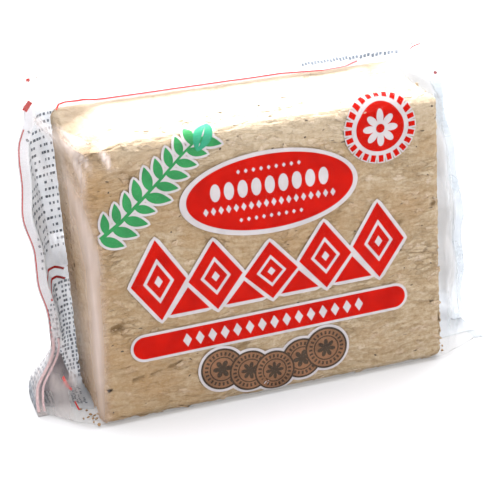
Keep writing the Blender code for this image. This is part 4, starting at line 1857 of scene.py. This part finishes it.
def label_mesh():
    """The white print as a closed layer on the film's grid."""
    starts = np.interp(np.arange(RINGS), [r for r, _ in LABEL_START], [p for _, p in LABEL_START])
    outer = []
    inner = []
    for ring in range(RINGS):
        for row in range(LABEL_ROWS + 1):
            point = mix(starts[ring], LABEL_END, row / LABEL_ROWS)
            outer.append(film_at(ring, point, LABEL_DEPTH))
            inner.append(film_at(ring, point, LABEL_DEPTH + LABEL_THICKNESS))
    faces = []
    width = LABEL_ROWS + 1
    for ring in range(RINGS - 1):
        for row in range(LABEL_ROWS):
            a = ring * width + row
            faces.append((a, a + 1, a + width + 1))
            faces.append((a, a + width + 1, a + width))
    mesh = thicken(outer, inner, faces)
    mesh.shade_smooth()
    return mesh


def along_film(path, step):
    """Places at an even spacing along a path of rings and points."""
    spots = []
    for (r0, p0), (r1, p1) in zip(path, path[1:]):
        length = np.linalg.norm(film_at(r1, p1, 0.0) - film_at(r0, p0, 0.0))
        count = max(2, math.ceil(length / step))
        spots += [(mix(r0, r1, i / count), mix(p0, p1, i / count)) for i in range(count)]
    return spots + [path[-1]]


def ribbon(path, width, depth, thickness, step=0.9 * MM):
    """A closed line of ink along a path of rings and points."""
    spots = along_film(path, step)
    middle = np.array([film_at(r, p, depth) for r, p in spots])
    deeper = np.array([film_at(r, p, depth + thickness) for r, p in spots])
    tangent = np.gradient(middle, axis=0)
    across = np.cross(tangent, middle - deeper)
    across = across / np.maximum(np.linalg.norm(across, axis=1, keepdims=True), 1e-12)
    offset = across * width / 2
    outer = [p for a, b in zip(middle - offset, middle + offset) for p in (a, b)]
    inner = [p for a, b in zip(deeper - offset, deeper + offset) for p in (a, b)]
    faces = []
    for i in range(len(spots) - 1):
        a = 2 * i
        faces.append((a, a + 1, a + 3))
        faces.append((a, a + 3, a + 2))
    return thicken(outer, inner, faces)


def on_foot(depth_place, height, sink):
    """A place on the cut end of the left foot, where the seal has spread open."""
    outer = FILM[0]
    front = np.arange(FRONT_START, FRONT_START + CORNER_STEPS + PANEL_STEPS)
    x = float(np.interp(height, outer[front, 2], outer[front, 0]))
    return np.array((x + sink, depth_place, max(height, 0.0)))


def foot_outline():
    """The cut end of the left foot as an outline of depth and height, in millimetres."""
    heights = [LEFT_END["foot_height"] * i / FOOT_STEPS for i in range(FOOT_STEPS)]
    sides = []
    for index, overlap in ((PEAK - 1, FOOT_OVERLAP), (PEAK + 1, -FOOT_OVERLAP)):
        sides.append([(seal_depth(LEFT_END, index, z) / MM + overlap, z / MM) for z in heights])
    return sides[0] + sides[1][::-1]


def lines(name, paths, depth, thickness, material):
    """One piece of ink lines, each a path and a width in millimetres."""
    meshes = [ribbon(path, width * MM, depth, thickness) for path, width in paths]
    join(name, meshes, material)


keep("label", label_mesh(), LABEL_INK)
ink("foot_label", [[foot_outline()]], *LABEL_INK_LAYER, on_foot, thickness=LABEL_THICKNESS)
lines("foot_lines", PINK_LINES, PINK_DEPTH, THIN_LINE, PINK_INK)
lines("flap_marks", FLAP_MARKS, LINE_DEPTH, THIN_LINE, RED_INK)
lines("label_lines", RED_LINES, LINE_DEPTH, LINE_THICKNESS, RED_INK)
print("label and its lines ready")

# %% [markdown]
# The fine print is generic: rows of dashes of uneven length. The same marks tree makes them. At the
# left foot it is dense, and a thin grey tint lies under it there: partly the grey of the dense
# print, and partly painted shade of the foot's shadowed inside.

# %% Fine print
TINT_DEPTH = 0.165 * MM
# left and right end, top, bottom, pitch, height and length of the dashes, and the seed
PRINT_ROWS = {
    "left": ((-71.2, -59.0, 97.0, 50.0, 2.55, 1.25, 0.8, 11),),
    "low": (
        (-71.0, -60.0, 38.0, 22.0, 1.75, 1.2, 0.75, 71),
        (-77.0, -60.0, 20.6, 0.5, 1.55, 1.35, 0.8, 171),
        (-76.0, -62.5, -1.5, -19.0, 1.55, 1.35, 0.8, 631),
    ),
    "rear": (
        (-52.0, 0.0, 84.0, 58.0, 3.2, 1.3, 3.4, 131),
        (6.0, 52.0, 84.0, 58.0, 3.2, 1.3, 2.6, 231),
        (-52.0, 52.0, 42.0, 12.0, 3.4, 1.3, 3.0, 331),
    ),
    "right": ((61.5, 70.0, 16.0, 3.0, 1.9, 1.1, 1.7, 431),),
}
FOOT_ROWS = (-1.5, 15.5, 22.0, 0.8, 1.5, 1.35, 0.8, 531)
DASH_GAP = 1.22
DASH_VARIATION = 0.4
DASH_SHIFT = 0.3
DASH_SKIP = 0.13
TINT_FIELD = (
    (-79.0, -1.0), (-78.6, 7.0), (-76.6, 13.0), (-73.5, 20.0), (-71.2, 27.0), (-69.0, 20.0),
    (-66.0, 10.0), (-63.0, -1.0),
)
TINT_LAYER = (TINT_DEPTH, "grey_print", PRINT_AND_SHADE_TINT_INK)
FINE_LAYER = (LINE_DEPTH, "grey_print", GREY_INK)
TOP_ROW_COUNT = 28
TOP_ROW_START = (106, 112.9)
TOP_ROW_SWAY = 0.2
# length in rings and width in millimetres
TOP_MARK = (0.7, 1.5)
FOOT_TINT_MIDDLE = 2.0
FOOT_TINT_SHARES = (0.94, 0.97)
FOOT_TINT_RISE = 0.4


def dash_rows(left, right, top, bottom, pitch, height, length, seed):
    """Rows of dashes from top to bottom, in millimetres."""
    rows = []
    level = top
    while level > bottom:
        rows.append([(left, level), (right, level)])
        level -= pitch
    count = int((right - left) / (length * DASH_GAP))
    return marks(rows, count, length, height, turn=45.0, variation=DASH_VARIATION, seed=seed,
                 shift=DASH_SHIFT * length, skip=DASH_SKIP)


FOOT_EDGE = foot_outline()
FOOT_TINT = [
    (mix(FOOT_TINT_MIDDLE, depth, FOOT_TINT_SHARES[0]), height * FOOT_TINT_SHARES[1] + FOOT_TINT_RISE)
    for depth, height in FOOT_EDGE
]
# Painted shade, in part: the grey tint under the print at the left foot.
ink("foot_tint", [[finer(list(TINT_FIELD), 1.0)]], *TINT_LAYER, on_rear, thickness=THIN_INK)
ink("foot_end_tint", [[FOOT_TINT]], *TINT_LAYER, on_foot, thickness=THIN_INK)
for name, fields in PRINT_ROWS.items():
    dashes = [shape for field in fields for shape in dash_rows(*field)]
    ink("fine_print_" + name, dashes, *FINE_LAYER, on_rear, thickness=LINE_THICKNESS)
    print("dashes", name, len(dashes))
FOOT_PRINT = dash_rows(*FOOT_ROWS)
FOOT_PRINT = [shape for shape in FOOT_PRINT if all(inside(p, FOOT_EDGE) for p in shape[0])]
ink("fine_print_foot", FOOT_PRINT, *FINE_LAYER, on_foot)
TOP_MARKS = []
for i in range(TOP_ROW_COUNT):
    ring = TOP_ROW_START[0] + i
    point = TOP_ROW_START[1] + TOP_ROW_SWAY * (i % 3)
    TOP_MARKS.append(([(ring, point), (ring + TOP_MARK[0], point)], TOP_MARK[1]))
lines("fine_print_top", TOP_MARKS, LINE_DEPTH, LINE_THICKNESS, GREY_INK)

# %% [markdown]
# ## Flakes, husks and crumbs
#
# Pale plates of pressed halva lie on the block's face, thin and turned every way in its plane, and
# dark bits of husk are pressed in between. Loose crumbs have gathered in the film at both feet.
# All three are the same idea, small irregular pieces scattered over a surface, so one tree makes
# them with other sizes and seeds.

# %% Scatter tree
SIZE_LOW = (0.55, 0.55, 0.6)
SIZE_HIGH = (1.45, 1.3, 1.3)
MOST_TURN = 0.7
PATCH_SCALE = 60.0
PATCH_RANGE = (0.40, 0.62)
ROUGH_SCALE = 620.0


def make_scatter_tree():
    """Small uneven pieces spread over a surface, each lying flat on it."""
    tree, given, out = tree_with(
        "pieces on a surface", "GeometryNodeTree",
        [("Geometry", GEOMETRY, None), ("Surface", "NodeSocketObject", None),
         ("Density", FLOAT, 1000.0), ("Spacing", FLOAT, 0.001), ("Length", FLOAT, 0.002),
         ("Width", FLOAT, 0.001), ("Thickness", FLOAT, 0.0004), ("Roundness", INTEGER, 2),
         ("Roughness", FLOAT, 0.3), ("Tilt", FLOAT, 0.2), ("Sink", FLOAT, 0.0002),
         ("Patchiness", FLOAT, 0.0), ("Low Limit", VECTOR, (-1.0, -1.0, 0.0)),
         ("High Limit", VECTOR, (1.0, 1.0, 1.0)), ("Seed", INTEGER, 1),
         ("Material", MATERIAL, None)],
        [("Geometry", GEOMETRY)],
    )
    surface = add(tree, "GeometryNodeObjectInfo", {"Object": given["Surface"]})
    position = add(tree, "GeometryNodeInputPosition").outputs[0]
    patch = remap(tree, noise(tree, position, PATCH_SCALE, 2.0), *PATCH_RANGE)
    bare = times(tree, given["Patchiness"], minus(tree, 1.0, patch))
    points = add(
        tree, "GeometryNodeDistributePointsOnFaces",
        {"Mesh": surface.outputs["Geometry"], "Distance Min": given["Spacing"],
         "Density Max": given["Density"], "Density Factor": minus(tree, 1.0, bare),
         "Seed": given["Seed"]},
        distribute_method="POISSON",
    ).outputs
    ball = {"Radius": 0.5, "Subdivisions": given["Roundness"]}
    ball = add(tree, "GeometryNodeMeshIcoSphere", ball).outputs["Mesh"]
    draw = {"Seed": given["Seed"], "ID": add(tree, "GeometryNodeInputIndex").outputs[0]}
    sizes = add(
        tree, "FunctionNodeRandomValue", {**draw, 0: SIZE_LOW, 1: SIZE_HIGH},
        data_type="FLOAT_VECTOR",
    ).outputs[0]
    base = vector_of(tree, X=given["Length"], Y=given["Width"], Z=given["Thickness"])
    size = vector_calc(tree, "MULTIPLY", sizes, base)
    tilt = given["Tilt"]
    tilt_low = times(tree, tilt, -1.0)
    low = vector_of(tree, X=tilt_low, Y=tilt_low, Z=-MOST_TURN)
    high = vector_of(tree, X=tilt, Y=tilt, Z=MOST_TURN)
    turn = add(
        tree, "FunctionNodeRandomValue", {**draw, 0: low, 1: high}, data_type="FLOAT_VECTOR",
    ).outputs[0]
    normal = {"Vector": points["Normal"]}
    aligned = add(tree, "FunctionNodeAlignRotationToVector", normal, axis="Z").outputs[0]
    level = add(
        tree, "FunctionNodeAlignRotationToVector",
        {"Rotation": aligned, "Vector": (1.0, 0.0, 0.0)}, axis="X", pivot_axis="Z",
    ).outputs[0]
    turned = add(
        tree, "FunctionNodeRotateRotation", {"Rotation": level, "Rotate By": turn},
        rotation_space="LOCAL",
    ).outputs[0]
    placed = add(tree, "GeometryNodeInstanceOnPoints", {
        "Points": points["Points"], "Instance": ball, "Rotation": turned, "Scale": size,
    }).outputs[0]
    down = vector_of(tree, Z=times(tree, given["Sink"], -1.0))
    sunk = {"Instances": placed, "Translation": down}
    sunk = add(tree, "GeometryNodeTranslateInstances", sunk).outputs[0]
    real = add(tree, "GeometryNodeRealizeInstances", {"Geometry": sunk}).outputs[0]
    bend = noise(tree, position, ROUGH_SCALE, 2.0, output=1)
    push = vector_calc(tree, "SUBTRACT", bend, HALVES)
    push = stretched(tree, push, times(tree, given["Roughness"], given["Width"]))
    held = vector_calc(tree, "ADD", position, push)
    held = vector_calc(tree, "MAXIMUM", held, given["Low Limit"])
    held = vector_calc(tree, "MINIMUM", held, given["High Limit"])
    uneven = add(tree, "GeometryNodeSetPosition", {"Geometry": real, "Position": held}).outputs[0]
    dress(tree, uneven, given["Material"], out)
    return tree


SCATTER_TREE = make_scatter_tree()
PATCH_HEIGHT = 0.8 * MM
CRUMB_PATCHES = (
    ((-66.5, -11), (-61.4, -18), (-61.4, -7), (-65.5, -3)),
    ((61.5, -17), (65, -11), (65, -5), (61.5, -8)),
)


def scatter(name, surface, values):
    """Pieces scattered over a surface, kept as one piece of halva."""
    made = run_tree(name, bpy.data.meshes.new("seed"), SCATTER_TREE, dict(values, Surface=surface))
    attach(made, "root")
    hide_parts("halva_pack")
    print(name, len(made.data.polygons), "faces")


def patch_of(outline, name):
    """A small flat surface to scatter on, removed after use."""
    mesh = bpy.data.meshes.new(name)
    places = [(x * MM, y * MM, PATCH_HEIGHT) for x, y in outline]
    mesh.from_pydata(places, [], [tuple(range(len(outline)))])
    return put(name, mesh)


LIMITS = {"Low Limit": (-0.06102, -0.01902, 0.0002), "High Limit": (0.06102, 0.01902, 0.09522)}
scatter("flakes", block, {
    **LIMITS, "Density": 30000.0, "Spacing": 2.9 * MM, "Length": 4.6 * MM, "Width": 1.7 * MM,
    "Thickness": 0.42 * MM, "Roundness": 3, "Roughness": 1.0, "Tilt": 0.14, "Sink": 0.14 * MM,
    "Patchiness": 0.6, "Seed": 5, "Material": FLAKE,
})
scatter("husks", block, {
    **LIMITS, "Density": 16000.0, "Spacing": 3.4 * MM, "Length": 0.9 * MM, "Width": 0.5 * MM,
    "Thickness": 0.3 * MM, "Roundness": 2, "Roughness": 0.4, "Tilt": 0.2, "Sink": 0.07 * MM,
    "Patchiness": 0.9, "Seed": 9, "Material": HUSK_BIT,
})
for number, outline in enumerate(CRUMB_PATCHES):
    patch = patch_of(outline, "patch")
    scatter("crumbs_%d" % (number + 1), patch, {
        "Density": 700000.0, "Spacing": 1.25 * MM, "Length": 1.0 * MM, "Width": 0.95 * MM,
        "Thickness": 0.8 * MM, "Roundness": 2, "Roughness": 0.6, "Tilt": 0.5, "Sink": 0.1 * MM,
        "Patchiness": 0.3, "Seed": 21 + number, "Material": CRUMB,
    })
    bpy.data.objects.remove(patch)
